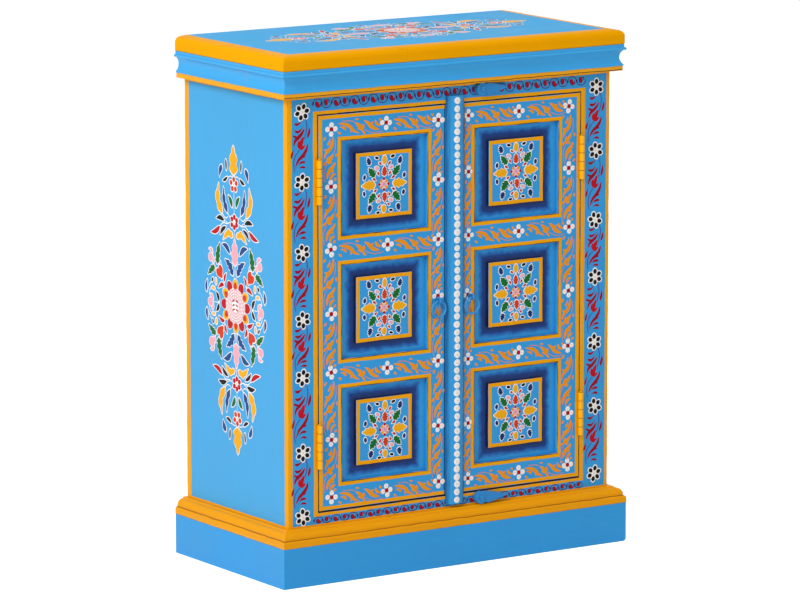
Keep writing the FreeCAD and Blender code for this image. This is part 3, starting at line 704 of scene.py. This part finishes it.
def on_door(u, v, h):
    """A door's frame: x is u, z is v, and y is the door's front less the height."""
    return u, door_y - h, v


def on_block(u, v, h):
    """A raised block: x is u, z is v, and y is the block's face less the height."""
    return u, block_y - h, v


def on_strip(u, v, h):
    """The half ellipse of the strip: x is u, z is v, and y is the door's front less the height and less
    the strip's reach times sqrt(1 - ((u - middle) / half width)^2)."""
    from_middle = np.clip((u - strip_middle) / strip_half, -0.98, 0.98)
    return u, door_y - strip_reach * np.sqrt(1 - from_middle ** 2) - h, v


def on_left_side(u, v, h):
    """The left side, seen from the left: y is -u, z is v, and x is the side's face less the height."""
    return -body_half - h, -u, v


def on_right_side(u, v, h):
    """The right side, seen from the right: y is u, z is v, and x is the side's face plus the height."""
    return body_half + h, u, v


def on_top(u, v, h):
    """The top, seen from above: x is u, y is v, and z is the top plus the height."""
    return u, v, top_z + h


# Motifs, as they were brushed. Places are from the motif's centre. A wheel's petal is its inner and outer
# radius and its width.
DAISY_PETAL = (4.3, 12.0, 6.4)
DAISY_HEART = 4.6
DAISY_EYE = 1.6
WHITE_PETAL = 4.25
WHITE_PETAL_AT = 6.4
RED_EYE = 3.2


def daisy(painting, u, v):
    """A black six-petalled flower on a scalloped white ground, as on the face frame."""
    turn = 90 + hand.normal(0, 9)
    wheel(painting, np.array((u, v)), 6, DAISY_PETAL, ["black"], turn, rim=DAISY_RIM)
    dab(painting, (u, v), DAISY_HEART, "white", 1.4)
    dab(painting, (u, v), DAISY_EYE, "cream", 2.4, grid=5)


def four_petals(painting, u, v, size=1.0):
    """A white four-petalled flower with a red eye, as on the doors."""
    turn = hand.normal(0, 7)
    for angle in np.radians(turn + 90 * np.arange(4)):
        way = np.array((np.cos(angle), np.sin(angle)))
        petal = (u, v) + way * WHITE_PETAL_AT * size + hand.normal(0, 0.3, 2)
        dab(painting, petal, (WHITE_PETAL + hand.normal(0, 0.12)) * size, "white", 0)
        mark(painting, [petal - way * 1.2, petal + way * 1.4], 1.0, "pink", 1, "petal")
    dab(painting, (u, v), RED_EYE * size, "dark red", 1)


# The red spray between two daisies, and the orange one between two flowers of a door. Each was brushed to
# fill a gap of the given height.
LEAF_SPRAY_GAP = 101.0
LEAF_SPRAY = (
    ("crimson", "drop", 3.8, (1, 38), (-4, 34), (-9, 32.5), (-12.5, 34.5)),
    ("crimson", "drop", 4.2, (2, 29.5), (-3, 24), (-8, 22), (-13, 24.5)),
    ("crimson", "brush", 5.0, (4.5, 26), (0, 19), (-6, 13.5), (-11, 9), (-13.8, 1)),
    ("crimson", "leaf", 3.6, (-15.5, 17.5), (-10.5, 15), (-5, 14.5)),
    ("red", "brush", 6.8, (-4, -3), (-1.5, 5), (3.2, 15)),
    ("red", "brush", 5.2, (-4.4, -3), (-5.4, 3), (-5.2, 9.5)),
    ("red", "brush", 4.8, (-4, -3), (0, -1.6), (5.4, 2.4)),
    ("crimson", "drop", 4.0, (12.5, 29), (12.6, 22), (9.6, 12)),
    ("crimson", "drop", 3.6, (-13, -1), (-16, -8.6), (-18, -16)),
    ("crimson", "brush", 5.0, (9.5, 4), (7, -5), (1, -13), (-6, -19), (-11.5, -29)),
    ("crimson", "leaf", 3.6, (-1, -14.5), (6.4, -13.6)),
    ("crimson", "drop", 3.8, (-7, -25.5), (-1, -22), (6.4, -22)),
    ("crimson", "drop", 3.6, (-5.4, -31), (0, -29), (6.4, -30.6)),
    ("violet", "stem", 1.4, (6, 41), (8.4, 32), (7.6, 22), (4.4, 11)),
    ("violet", "stem", 1.4, (-4, -4), (-11, -12), (-14, -23), (-12.6, -36)),
)
VINE_GAP = 90.0
VINE = (
    ("orange", "petal", 3.4, (-7.5, 33), (-11.5, 28)),
    ("orange", "drop", 4.4, (-0.5, 31), (-1.5, 24.5), (-5.5, 20.5)),
    ("orange", "brush", 5.6, (5, 33), (3.5, 23), (-0.5, 14.5), (-7.5, 8), (-11.5, -1)),
    ("orange", "leaf", 3.6, (-10.5, 13.5), (-5, 12), (0, 13)),
    ("orange", "brush", 4.8, (-7, -7), (-5, -2), (-4, 2)),
    ("orange", "brush", 5.6, (-5.5, -7), (-0.5, -1.5), (4.8, 6)),
    ("orange", "brush", 3.8, (-6, -7), (-2, -7.6), (2, -7.2)),
    ("orange", "drop", 3.6, (-5, -6), (-9, -6.6), (-14, -11)),
    ("orange", "brush", 6.0, (7, -8), (3, -14.5), (-3, -20), (-6.5, -26), (-7.8, -33)),
    ("orange", "leaf", 3.6, (-0.5, -18.4), (4.6, -23)),
    ("orange", "brush", 4.4, (7, -26), (2.5, -27), (-0.8, -30.5), (-2.2, -36)),
    ("orange", "petal", 3.6, (8, -32.6), (4.2, -36)),
    ("orange", "petal", 2.8, (9.5, 6), (9.3, 0)),
    ("rose", "stem", 1.4, (8.5, 27), (7.8, 14), (5.2, 6)),
    ("rose", "stem", 1.4, (-6.5, -9), (-10.8, -17), (-12.6, -27), (-10.6, -38)),
)


def fitted(marks, squeeze, stretch):
    """The same marks with each u times the squeeze, each v times the stretch, and each width times
    0.5 + 0.5 * squeeze."""
    width = 0.5 + 0.5 * squeeze
    return [(colour, shape, full * width, *[(a * squeeze, b * stretch) for a, b in points])
            for colour, shape, full, *points in marks]


def leaf_spray(painting, u, above, below):
    """The red leaves and violet stems between two daisies, at these heights."""
    marks = fitted(LEAF_SPRAY, 1.0, (above - below) / LEAF_SPRAY_GAP)
    motif(painting, marks, shaky((u, (above + below) / 2, 0, 1), turn=1.5))


def vine_spray(painting, first, last, squeeze):
    """The orange leaves from one flower of a door to the next one under it or to its right."""
    run = np.subtract(last, first)
    marks = fitted(VINE, squeeze, np.hypot(*run) / VINE_GAP)
    middle = np.add(first, last) / 2
    turn = 90 + np.degrees(np.arctan2(run[1], run[0]))
    motif(painting, marks, shaky((*middle, turn, 1), turn=1.5))


# One turn of the running scroll, in shares of its step and of its rise. A turn that hangs has all but its
# comma upside down, and the comma's tail reaches less far.
SCROLL_ARC = np.array([(-0.52, -0.1), (-0.36, 0.72), (0, 1), (0.36, 0.72), (0.52, -0.1)])
SCROLL_STEEP = np.array([(-0.56, -0.4), (-0.46, 0.5)])
SCROLL_HOOK = np.array([(0.04, -0.62), (0.26, -0.6), (0.3, -0.05)])
SCROLL_COMMA = np.array([(-0.12, 0.66), (-0.02, 0), (0.22, -0.68)])
HANGING_COMMA = np.array([(-0.12, 0.66), (-0.02, 0), (0.04, -0.68)])

# In shares too: how far the comma is from the middle height, and its width and its purple ground's. The
# rest is in millimetres.
COMMA_DROP = -0.14
COMMA_SHARE = 0.34
COMMA_GROUND_SHARE = 0.42
COMMA_GROUND_SHIFT = (-1.2, -0.3)
ARC_WIDTH = 1.5
STEEP_WIDTH = 3.0
HOOK_WIDTH = 1.6


def running_scroll(painting, start, end, v, rise, step):
    """The running scroll of the face rails: a purple wave that turns over at each step, thicker where it
    is steep, with a red comma under each crest and over each trough."""
    count = int(round((end - start) / step))
    step = (end - start) / count
    for i in range(count):
        middle = (start + (i + 0.5) * step + hand.normal(0, 0.4), v)
        sign = 1 if i % 2 == 0 else -1
        upright, turned = (step, rise), (step, sign * rise)
        mark(painting, middle + SCROLL_ARC * turned, ARC_WIDTH, "purple", 0, "stem")
        mark(painting, middle + SCROLL_STEEP * turned, STEEP_WIDTH, "purple", 0.3, "petal")
        comma = SCROLL_COMMA if sign > 0 else HANGING_COMMA
        comma = middle + comma * upright + (0, COMMA_DROP * sign * rise)
        mark(painting, comma + COMMA_GROUND_SHIFT, COMMA_GROUND_SHARE * step, "purple", 0, "petal")
        mark(painting, comma, COMMA_SHARE * step, "dark red", 1, "petal")
        mark(painting, middle + SCROLL_HOOK * turned, HOOK_WIDTH, "purple", 0.3, "stem")


def brushed(*groups):
    """The marks of a motif, from groups that share a colour, a shape and a width."""
    return [(colour, shape, width, *points) for colour, shape, width, *marks in groups for points in marks]


BLOCK_MARKS = brushed(
    ("gold", "petal", 8.0, ((0, 28.6), (0.2, 41.6)), ((0.6, -29.6), (0.8, -41))),
    ("vermilion", "jagged", 9.4, ((0.3, 11.4), (0.3, 26.4)), ((1.2, -11.4), (2, -25.8))),
    ("gold", "jagged", 14, ((15, 0.4), (38, 0.8)), ((-15, -0.4), (-38, -1))),
    ("green", "jagged", 11, ((-15.6, 11.4), (-26.4, 24.4)), ((15.6, 12.6), (26.8, 26.6)),
     ((16.4, -12), (28, -24.6)), ((-14.6, -12.8), (-25, -26.8))),
    ("navy", "jagged", 8.4, ((-24.8, 28.6), (-28.8, 39.8)), ((25.4, 29), (28.2, 40)),
     ((24.6, -28.6), (27.2, -39.6)), ((-22, -29), (-24.8, -40))),
    ("black", "petal", 4.0, ((-16, 39.6), (-9.2, 38)), ((10.6, 38.6), (17.6, 40.8))),
    ("black", "petal", 3.6, ((-12.4, -41), (-6, -40))),
    ("black", "petal", 3.8, ((9.4, -37.4), (16, -38.6))),
    ("navy", "petal", 5.0, ((-34.2, 7.4), (-32.6, 15)), ((-33.6, -9), (-32.4, -16.4)),
     ((34, 8.2), (35.2, 15.6)), ((34.4, -9), (33, -16.4))),
    ("pink", "petal", 4.8, ((-9, 22), (-16, 24.4)), ((8, 22.4), (15, 25.4)), ((-5, -23), (-12, -25)),
     ((8.6, -22.2), (15.6, -24.4))),
    ("red", "drop", 3.6, ((-4.2, 28), (-9.2, 31.6)), ((5.4, 27.4), (11, 32.4)),
     ((-8.4, 12), (-11.4, 18.2)), ((8.2, 12.4), (11.4, 18.4)), ((-13, 5.6), (-19.4, 9.2)),
     ((12, 7.4), (18.4, 11)), ((-11, -7), (-16.6, -10.2)), ((13, -5.6), (19, -8.8)),
     ((-6.6, -13), (-9.2, -19)), ((8.6, -11.4), (11, -17))),
    ("red", "drop", 3.2, ((-3.6, -29), (-8.6, -34.4)), ((6, -27), (11.2, -30.4))))

# The rosette in their middle: its ground, its eight small petals, of which the entries give the distance
# from the centre, the first one's angle, the radius and the colour, and its heart and eye.
BLOCK_GROUND = 8.6
BLOCK_PETALS = ((6.2, 45, 2.4, "orange"), (7.6, 0, 2.2, "red"))
BLOCK_HEART = 4.6
BLOCK_EYE = 1.7


def block_medallion(painting, u, v):
    """The small bouquet of a raised block: leaves and drops in rings round a rosette."""
    spot = shaky((u, v, 0, 1), turn=1.2)
    motif(painting, BLOCK_MARKS, spot, rim=BLOCK_RIM)
    centre = moved([(0, 0)], spot)[0]
    dab(painting, centre, BLOCK_GROUND, "white", 0, lobes=8, depth=0.08, grid=11)
    for out, start, radius, colour in BLOCK_PETALS:
        for angle in np.radians(start + 90 * np.arange(4)):
            way = np.array((np.cos(angle), np.sin(angle)))
            dab(painting, centre + out * way, radius, colour, 1, grid=5)
    dab(painting, centre, BLOCK_HEART, "pink", 1.4, lobes=6, depth=0.06)
    dab(painting, centre, BLOCK_EYE, "lavender", 2.4, grid=5)


# The large medallion of the sides and the top: one quarter of it, the upper half of its axis, whose tip is
# at v = 230, and the bud and the heart that it holds.
QUARTER = (
    ("black", "petal", 4.1, (20, 193), (21.5, 209)),
    ("leaf blue", "drop", 8.2, (39, 180.5), (37, 190), (32, 199)),
    ("black", "leaf", 5.3, (16, 183.5), (24, 178.5), (30.5, 177)),
    ("gold", "flame", 12.5, (33, 129.5), (44.5, 150), (41.6, 173)),
    ("leaf blue", "flame", 9.5, (18.3, 131.5), (27, 149), (28.6, 168.5)),
    ("green", "leaf", 7.4, (5, 141.5), (9, 151), (15.8, 157.7)),
    ("black", "leaf", 7.2, (27.5, 120.5), (39, 123.4), (50, 121.5)),
    ("red", "leaf", 6.9, (39.5, 111), (51, 103), (65, 99.7)),
    ("black", "leaf", 6.0, (23, 112), (33, 106.5), (39.5, 98.5)),
    ("gold", "jagged", 10.3, (4.6, 99.5), (18, 103.5), (32, 92.6)),
    ("leaf blue", "leaf", 8.6, (13, 73.5), (23, 83), (35, 85.8)),
    ("green", "jagged", 12.9, (48.5, 55), (46.4, 70), (41, 87)),
    ("leaf blue", "jagged", 11.2, (5.2, 43.4), (14, 57), (26.6, 65)),
    ("green", "jagged", 11.2, (55.5, 50.4), (64, 46), (75, 37.4)),
    ("red", "leaf", 5.7, (29.8, 31.5), (28.6, 39), (24, 45.2)),
    ("red", "leaf", 6.5, (30.6, 26.4), (38, 26.6), (47.2, 20.8)),
    ("peach", "petal", 5.2, (53.4, 25), (53.8, 35)),
    ("peach", "petal", 5.2, (56, 19.2), (66, 19.6)),
    ("black", "petal", 4.3, (60.6, 34.4), (65, 27.6)),
    ("black", "leaf", 6.2, (45.4, 1.6), (48, 9), (53.8, 15.2)),
    ("leaf blue", "leaf", 6.0, (79, 11.6), (80.4, 20), (77, 30)),
    ("white", "stem", 1.7, (36, 51), (40, 62), (44, 56)),
    ("white", "stem", 1.7, (48.5, 55), (52, 62), (58, 64)),
    ("white", "stem", 1.7, (25, 121), (18, 117), (11, 120)),
    ("white", "stem", 1.7, (39.5, 111), (30, 117), (18, 116)),
    ("white", "stem", 1.7, (18.3, 131.5), (9, 124), (5, 130)),
    ("white", "stem", 1.7, (33, 129.5), (24, 124), (17, 127)),
    ("white", "stem", 1.7, (16, 183.5), (8, 186), (3, 184)),
    ("white", "stem", 1.7, (66, 19.4), (71, 14), (72, 8)),
    ("white", "stem", 1.7, (64.5, 28), (70, 24), (78, 12)),
)
HALF_AXIS = (
    ("gold", "flame", 23, (0, 188), (0, 207), (0, 230)),
    ("pink", "jagged", 17, (0, 58), (0, 76), (0, 96)),
    ("white", "stem", 1.3, (0, 58), (0, 40)),
    ("white", "stem", 1.3, (0, 96), (0, 110)),
    ("white", "stem", 1.3, (0, 132), (0, 164)),
)
ROSEBUD = (
    ("pink", "leaf", 5.2, (-6, 1), (-5.4, 7.4), (0.6, 10.8)),
    ("pink", "drop", 5.2, (-6, -2), (-4, -8), (0, -11)),
    ("pink", "dab", 13.2, (1.6, -0.6)),
)
HEART = (
    ("vermilion", "drop", 11.2, (2.6, -10.6), (-2.4, -1), (-5.6, 9.4)),
    ("vermilion", "drop", 11.2, (-2.6, -10.6), (2.4, -1), (5.6, 9.4)),
    ("vermilion", "petal", 9.0, (0, -9.4), (0, 4)),
)

# Where the buds, the hearts and the two small flowers of a half stand, and how the buds and hearts lean.
BUDS = ((ROSEBUD, (66, 65), -28), (HEART, (41.4, 44), -38))
SIDE_BUD = (68, -1)
SIDE_BUD_LEAN = 12
SMALL_FLOWERS = ((174.3, "vermilion", 5), (120.2, "red", 6))
SMALL_PETAL = (3.4, 11.6, 7.6)
SMALL_HEART = 2.6
SMALL_EYE = 1.2

# The large flower: its two rings of petals, its disc, and the radius and count of each ring of dashes.
GOLD_PETAL = (22, 39.4, 14.6)
RED_HEART = (21, 34.6, 9.6)
DISC_RIM = 26.2
DISC = 24.8
DISC_MIDDLE = 10.4
DASH_RINGS = ((21.4, 24), (17.4, 19), (13.2, 14))
DASH_WIDTH = 1.9
STROKE_HEIGHTS = (-6.4, 0.0, 6.4)


def wheel(painting, centre, petals, petal, colours, turn, rim=RIM, level=1):
    """A ring of petals from an inner to an outer radius, at even angles from the turn, which take the
    given colours by turns. The line of each runs from centre + way * inner to centre + way * outer."""
    inner, outer, width = petal
    for i, angle in enumerate(np.radians(turn + 360 / petals * np.arange(petals))):
        way = np.array((np.cos(angle), np.sin(angle)))
        ends = np.array([centre + way * inner, centre + way * outer]) + hand.normal(0, 0.2, 2)
        if rim:
            mark(painting, ends, width, "white", level - 1, "petal", rim)
        mark(painting, ends, width, colours[i % len(colours)], level, "petal")


def large_medallion(painting, u, v, turn, reach):
    """The tall bouquet of the sides and the top: four mirrored quarters round a rosette. The upper and
    the lower half reach as far as their share says: their marks keep their width and change in length."""
    for half, share in zip((0, 180), reach):
        quarter, axis = fitted(QUARTER, 1.0, share), fitted(HALF_AXIS, 1.0, share)
        for flip in (1, -1):
            motif(painting, quarter, (u, v, turn + half, flip), rim=RIM)
        motif(painting, axis, (u, v, turn + half, 1), rim=RIM)
        for height, colour, petals in SMALL_FLOWERS:
            centre = moved([(0, height * share)], (u, v, turn + half, 1))[0]
            wheel(painting, centre, petals, SMALL_PETAL, [colour], turn + half + 90)
            dab(painting, centre, SMALL_HEART, "white", 1.5, grid=5)
            dab(painting, centre, SMALL_EYE, "gold", 2.5, grid=5)
        for flip in (1, -1):
            for bud, at, lean in BUDS:
                centre = moved([(at[0], at[1] * share)], (u, v, turn + half, flip))[0]
                motif(painting, bud, (centre[0], centre[1], turn + half + flip * lean, flip), rim=RIM)
    for side in (1, -1):
        centre = moved([SIDE_BUD], (u, v, turn, side))[0]
        motif(painting, ROSEBUD, (centre[0], centre[1], turn - side * SIDE_BUD_LEAN, side), rim=RIM)
        motif(painting, [("white", "stem", 1.4, (44, 0), (60, 0))], (u, v, turn, side))
    rosette(painting, np.array((u, v), float), turn)


def rosette(painting, centre, turn):
    """The large flower in the middle: twelve petals, every other one gold with a red heart, a blush disc
    with rings of white dashes, and red strokes on its white middle."""
    wheel(painting, centre, 12, GOLD_PETAL, ["gold", "red"], turn + 90, rim=ROSETTE_RIM)
    wheel(painting, centre, 6, RED_HEART, ["vermilion"], turn + 90, rim=0.0, level=2)
    dab(painting, centre, DISC_RIM, "white", 2.6, lobes=24, depth=0.012, grid=15)
    dab(painting, centre, DISC, "blush", 3.6, grid=13)
    for radius, dashes in DASH_RINGS:
        for angle in 2 * np.pi * np.arange(dashes) / dashes + radius:
            ends = angle + np.array((-0.36, 0.0, 0.36)) * 2 * np.pi / dashes
            arc = centre + radius * np.stack([np.cos(ends), np.sin(ends)], axis=-1)
            mark(painting, arc, DASH_WIDTH, "white", 4.6, "stem")
    dab(painting, centre, DISC_MIDDLE, "white", 4.6)
    for height in STROKE_HEIGHTS:
        for side in (1, -1):
            stroke = moved([(0.8, height + 1.8), (4.4, height + 1.4), (8.6, height - 1.2)],
                           (*centre, turn, side))
            mark(painting, stroke, 2.8, "dark red", 5.6, "leaf")


# The widths of the painted lines on the doors, round the panels and on the blocks, and how far the level
# ones round a panel are over its edge.
LINE = 6.0
DOOR_LEVEL_LINE = 5.4
BLOCK_LINE = 5.5
LEVEL_OVERLAP = 0.4

# The painted shadow lines, thin and dark, round a panel and beside the strip: their widths, how far the
# first reaches out from the panel's edge, and how far the second is from the strip.
SHADOW_LINE = 0.8
SHADOW_REACH = 0.9
STRIP_SHADOW = 0.9
STRIP_SHADOW_GAP = 1.4

# On the face frame: beside the opening, over and under it, and on the outer edges. The level lines at the
# top and the foot are pairs of a height and a width, as those of the sides are.
FRAME_LINE = 7.0
OVER_LINE = 5.0
UNDER_LINE = 4.5
LEFT_EDGE_LINE = 7.0
RIGHT_EDGE_LINE = 5.0
FRONT_LEVEL_LINES = ((frame_top - 2, 4.0), (frame_bottom + 0.8, 2.4))

# On the sides: at the front and the back edge, and level.
CORNER_LINE = 10.0
BACK_LINE = 11.0
SIDE_LEVEL_LINES = ((frame_top - 2.4, 5.0), (frame_bottom + 1, 3.0))

# The heights of the flowers, from the top down, and how far out from the stile's middle the daisies are.
LEFT_DAISIES = (682, 582, 480.5, 383.5, 300, 191, 97.4)
RIGHT_DAISIES = (681, 587, 484, 399, 301.4, 205, 103.6)
DAISY_SHIFTS = (0.5, 1.6)
RAIL_FLOWERS = (656, 480, 299.5, 120.5)

# The columns of flowers on each door, by the hinge and by the meeting edge: the place of each from the
# cabinet's middle, its heights, how narrow its vines are and how large its flowers. Then the place of the
# rails' own flower.
LEFT_DOOR_FLOWERS = (
    (-206.5, (654, 571.7, 481, 388, 303, 205, 121), 1.0, 1.0),
    (-22.5, (653.6, 567, 480, 397, 301.7, 206, 123.4), 0.86, 1.0),
    -111)
RIGHT_DOOR_FLOWERS = (
    (207.5, (656, 565, 478, 383, 301, 200, 122), 1.0, 1.0),
    (29.5, (656, 574, 481, 394, 299, 204, 122), 0.62, 0.9),
    119)
RAIL_SQUEEZE = 0.95

# The height, rise and step of the upper and the lower scroll.
SCROLLS = ((692.3, 6.8, 15.9), (89.8, 5.0, 14.6))

# The strip's dots, and how far the first is under its top and the last over its foot.
DOTS = 53
DOT_RADIUS = 5.1
DOT_SPECK = 1.4
DOT_ENDS = (7.5, 6.5)

# The middles of the bouquets, their lean in degrees, and the reach of their upper and lower halves.
SIDE_BOUQUET = (12.3, 385.7)
SIDE_LEAN = 1.1
SIDE_REACH = (1.015, 0.945)
TOP_BOUQUET = (15, 23)
TOP_LEAN = 90
TOP_REACH = (1.015, 0.955)


def paint_face_frame():
    """Daisies and red leaves on the stiles, scrolls on the rails, and the yellow lines."""
    painting = Painting("ornament_face_frame", "carcass", on_front, "blue_painted_wood")
    for side, heights, edge, shift in ((-1, LEFT_DAISIES, LEFT_EDGE_LINE, DAISY_SHIFTS[0]),
                                       (1, RIGHT_DAISIES, RIGHT_EDGE_LINE, DAISY_SHIFTS[1])):
        u = side * (body_half - edge / 2)
        line(painting, (u, frame_bottom), (u, frame_top), edge + 0.2, level=0.3)
        u = side * (opening_half + FRAME_LINE / 2)
        line(painting, (u, opening_bottom - UNDER_LINE), (u, opening_top + OVER_LINE), FRAME_LINE,
             level=0.3)
        u = side * ((body_half + opening_half) / 2 + shift)
        for height in heights:
            daisy(painting, u + hand.normal(0, 0.5), height)
        for above, below in zip(heights, heights[1:]):
            leaf_spray(painting, u, above, below)
    across = opening_half + FRAME_LINE
    for v, width in ((opening_top + OVER_LINE / 2, OVER_LINE),
                     (opening_bottom - UNDER_LINE / 2, UNDER_LINE)):
        line(painting, (-across, v), (across, v), width)
    for v, width in FRONT_LEVEL_LINES:
        line(painting, (-body_half, v), (body_half, v), width)
    for v, rise, step in SCROLLS:
        running_scroll(painting, -across, across, v, rise, step)
    painting.finish()


def paint_door(name, sign, hinge_edge, shut_edge, flowers):
    """One door: flowers at the crossings, orange vines between them, yellow lines round the panels."""
    painting = Painting("ornament_" + name, name, on_door, "blue_painted_wood")
    u = hinge_edge - sign * LINE / 2
    line(painting, (u, door_bottom), (u, door_top), LINE, level=0.3)
    for v in (door_bottom + LINE / 2, door_top - LINE / 2):
        line(painting, (min(hinge_edge, shut_edge), v), (max(hinge_edge, shut_edge), v), DOOR_LEVEL_LINE)
    if sign > 0:
        # Painted shadow: a thin brown line on the door just right of the strip.
        u = shut_edge + STRIP_SHADOW_GAP
        line(painting, (u, door_bottom + 1), (u, door_top - 1), STRIP_SHADOW, "brown", 1)
    for v in panel_levels:
        middle = (sign * panel_middle, v)
        half_size = np.array((panel_half_wide + LINE, panel_half_high + LINE - LEVEL_OVERLAP))
        ruled_frame(painting, middle, half_size, LINE)
        # Painted shadow: a thin dark line round the inside of each panel's yellow frame.
        ruled_frame(painting, middle, half_size - LINE + SHADOW_REACH, SHADOW_LINE, "umber", 1)
    *columns, rail_u = flowers
    for u, levels, squeeze, size in columns:
        for v in levels:
            four_petals(painting, u + hand.normal(0, 0.6), v, size)
        for above, below in zip(levels, levels[1:]):
            vine_spray(painting, (u, above), (u, below), squeeze)
    left_u, right_u = sorted(column[0] for column in columns)
    for v in RAIL_FLOWERS:
        four_petals(painting, rail_u + hand.normal(0, 1.0), v + hand.normal(0, 0.8))
        vine_spray(painting, (left_u, v), (rail_u, v), RAIL_SQUEEZE)
        vine_spray(painting, (rail_u, v), (right_u, v), RAIL_SQUEEZE)
    painting.finish()


def paint_blocks(name, sign):
    """The raised blocks of one door: a yellow line round each, and its bouquet."""
    painting = Painting("ornament_blocks_" + name, name, on_block, "blue_painted_wood")
    for v in panel_levels:
        u = sign * panel_middle
        ruled_frame(painting, (u, v), (block_half, block_half), BLOCK_LINE)
        block_medallion(painting, u, v)
    painting.finish()


def paint_strip():
    """A row of white dots down the crest of the strip, each with a warm speck."""
    painting = Painting("ornament_strip", "right_door", on_strip, "blue_painted_wood")
    for v in np.linspace(strip_high[2] - DOT_ENDS[0], strip_low[2] + DOT_ENDS[1], DOTS):
        centre = np.array((strip_middle, v)) + hand.normal(0, 0.3, 2)
        dab(painting, centre, DOT_RADIUS + hand.normal(0, 0.22), "white", 1, lobes=2, depth=0.03,
            turn=hand.uniform(0, 180), grid=9)
        dab(painting, centre + hand.normal(0, 0.3, 2), DOT_SPECK, "cream", 2, grid=5)
    painting.finish()


def paint_side(name, ground, sign):
    """One side: the tall bouquet, wide yellow lines at its front and back edges, and thinner ones above
    and below."""
    painting = Painting("ornament_" + name, "carcass", ground, "blue_painted_wood")
    near = sign * (front_y + CORNER_LINE / 2)
    far = sign * (back_edge - BACK_LINE / 2)
    for u, width in ((near, CORNER_LINE + 0.2), (far, BACK_LINE)):
        line(painting, (u, frame_bottom), (u, frame_top), width, level=0.3)
    left, right = sorted((near, far))
    for v, width in SIDE_LEVEL_LINES:
        line(painting, (left, v), (right, v), width)
    large_medallion(painting, sign * SIDE_BOUQUET[0], SIDE_BOUQUET[1], SIDE_LEAN, SIDE_REACH)
    painting.finish()


def paint_top():
    """The top: the same bouquet lying along the board."""
    painting = Painting("ornament_top", "carcass", on_top, "blue_painted_wood")
    large_medallion(painting, *TOP_BOUQUET, TOP_LEAN, TOP_REACH)
    painting.finish()


paint_face_frame()
paint_door("left_door", -1, left_hinge_low[0], left_meeting_high[0], LEFT_DOOR_FLOWERS)
paint_door("right_door", 1, right_hinge_edge, strip_high[0], RIGHT_DOOR_FLOWERS)
paint_blocks("left_door", -1)
paint_blocks("right_door", 1)
paint_strip()
paint_side("left_side", on_left_side, -1)
paint_side("right_side", on_right_side, 1)
paint_top()

# Light, floor and camera. Places and sizes are in metres here, and powers in watts. The lens is in mm.
# Each lamp is a square soft box: its place, what it looks at, its side and its power.
KEY_LIGHT = ((-4.5, -1.6, 3.4), (0, 0, 0.4), 2.5, 215)
FILL_LIGHT = ((1.5, -5.0, 2.2), (0, 0, 0.4), 3.0, 30)
TOP_LIGHT = ((0.0, 0.3, 4.0), (0, 0, 0.7), 3.0, 32)
SURROUND = 0.40
FLOOR_GLOW = 0.6
FLOOR_WHITE = "#F4F4F4"
FLOOR_HALF = 20.0

# The photograph was taken from the front left, from a little above, with a long lens.
CAMERA_PLACE = (-4.3016, -6.5166, 1.7214)
CAMERA_AIM = (-0.0156, -0.0185, 0.3742)
CAMERA_LENS = 243.0
SENSOR_WIDTH = 36.0
SIGHT_LIMIT = 60.0


def seen_plainly(material):
    """1 for the rays of the camera, of mirrors and of glass, and 0 for the rays that light the object."""
    rays = add(material, "LightPath")
    seen = add(material, "Math", {"operation": "MAXIMUM"},
               {0: rays.outputs["Is Camera Ray"], 1: rays.outputs["Is Glossy Ray"]})
    return add(material, "Math", {"operation": "MAXIMUM"},
               {0: seen, 1: rays.outputs["Is Transmission Ray"]})


def studio_world():
    """A plain pale surround that lights the cabinet evenly, and looks white."""
    world = cleared(bpy.data.worlds.new("studio"))
    bpy.context.scene.world = world
    plain = add(world, "Background", links={"Color": (1, 1, 1, 1), "Strength": SURROUND})
    white = add(world, "Background", links={"Color": (1, 1, 1, 1), "Strength": 1.0})
    chosen = add(world, "MixShader", links={0: seen_plainly(world), 1: plain, 2: white})
    add(world, "OutputWorld", links={"Surface": chosen})


def studio_floor():
    """A white paper floor that keeps the shadow: a square of four corners at the level of the feet."""
    half = FLOOR_HALF
    corners = [(-half, -half, 0), (half, -half, 0), (half, half, 0), (-half, half, 0)]
    mesh = bpy.data.meshes.new("studio_floor")
    mesh.from_pydata(corners, [], [(0, 1, 2, 3)])
    floor = into_scene("studio_floor", mesh)
    material = cleared(bpy.data.materials.new("white paper"))
    paper = add(material, "BsdfDiffuse", links={"Color": linear(FLOOR_WHITE)})
    strength = add(material, "Math", {"operation": "MULTIPLY"}, {0: seen_plainly(material), 1: FLOOR_GLOW})
    glow = add(material, "Emission", links={"Strength": strength})
    both = add(material, "AddShader", links={0: paper, 1: glow})
    add(material, "OutputMaterial", links={"Surface": both})
    mesh.materials.append(material)


def aimed(place, aim):
    """The turn and place of a lamp or camera that stands at place and looks at aim, upright."""
    away = np.array(place) - np.array(aim)
    away = away / np.linalg.norm(away)
    right = np.cross((0, 0, 1), away)
    right = right / np.linalg.norm(right)
    rows = np.eye(4)
    rows[:3, :3] = np.stack([right, np.cross(away, right), away], axis=1)
    rows[:3, 3] = place
    return Matrix(rows)


def soft_light(name, place, aim, size, power):
    """A square soft box that looks from its place at its aim."""
    lamp = bpy.data.lights.new(name, "AREA")
    lamp.shape = "SQUARE"
    lamp.size = size
    lamp.energy = power
    into_scene(name, lamp).matrix_world = aimed(place, aim)


def photo_camera():
    """The camera of the photograph, at its place, with its lens."""
    lens = bpy.data.cameras.new("camera")
    lens.lens = CAMERA_LENS
    lens.sensor_width = SENSOR_WIDTH
    lens.clip_end = SIGHT_LIMIT
    camera = into_scene("camera", lens)
    camera.matrix_world = aimed(CAMERA_PLACE, CAMERA_AIM)
    bpy.context.scene.camera = camera


studio_world()
studio_floor()
soft_light("key light", *KEY_LIGHT)
soft_light("fill light", *FILL_LIGHT)
soft_light("top light", *TOP_LIGHT)
photo_camera()
bpy.context.scene.view_settings.view_transform = "Standard"
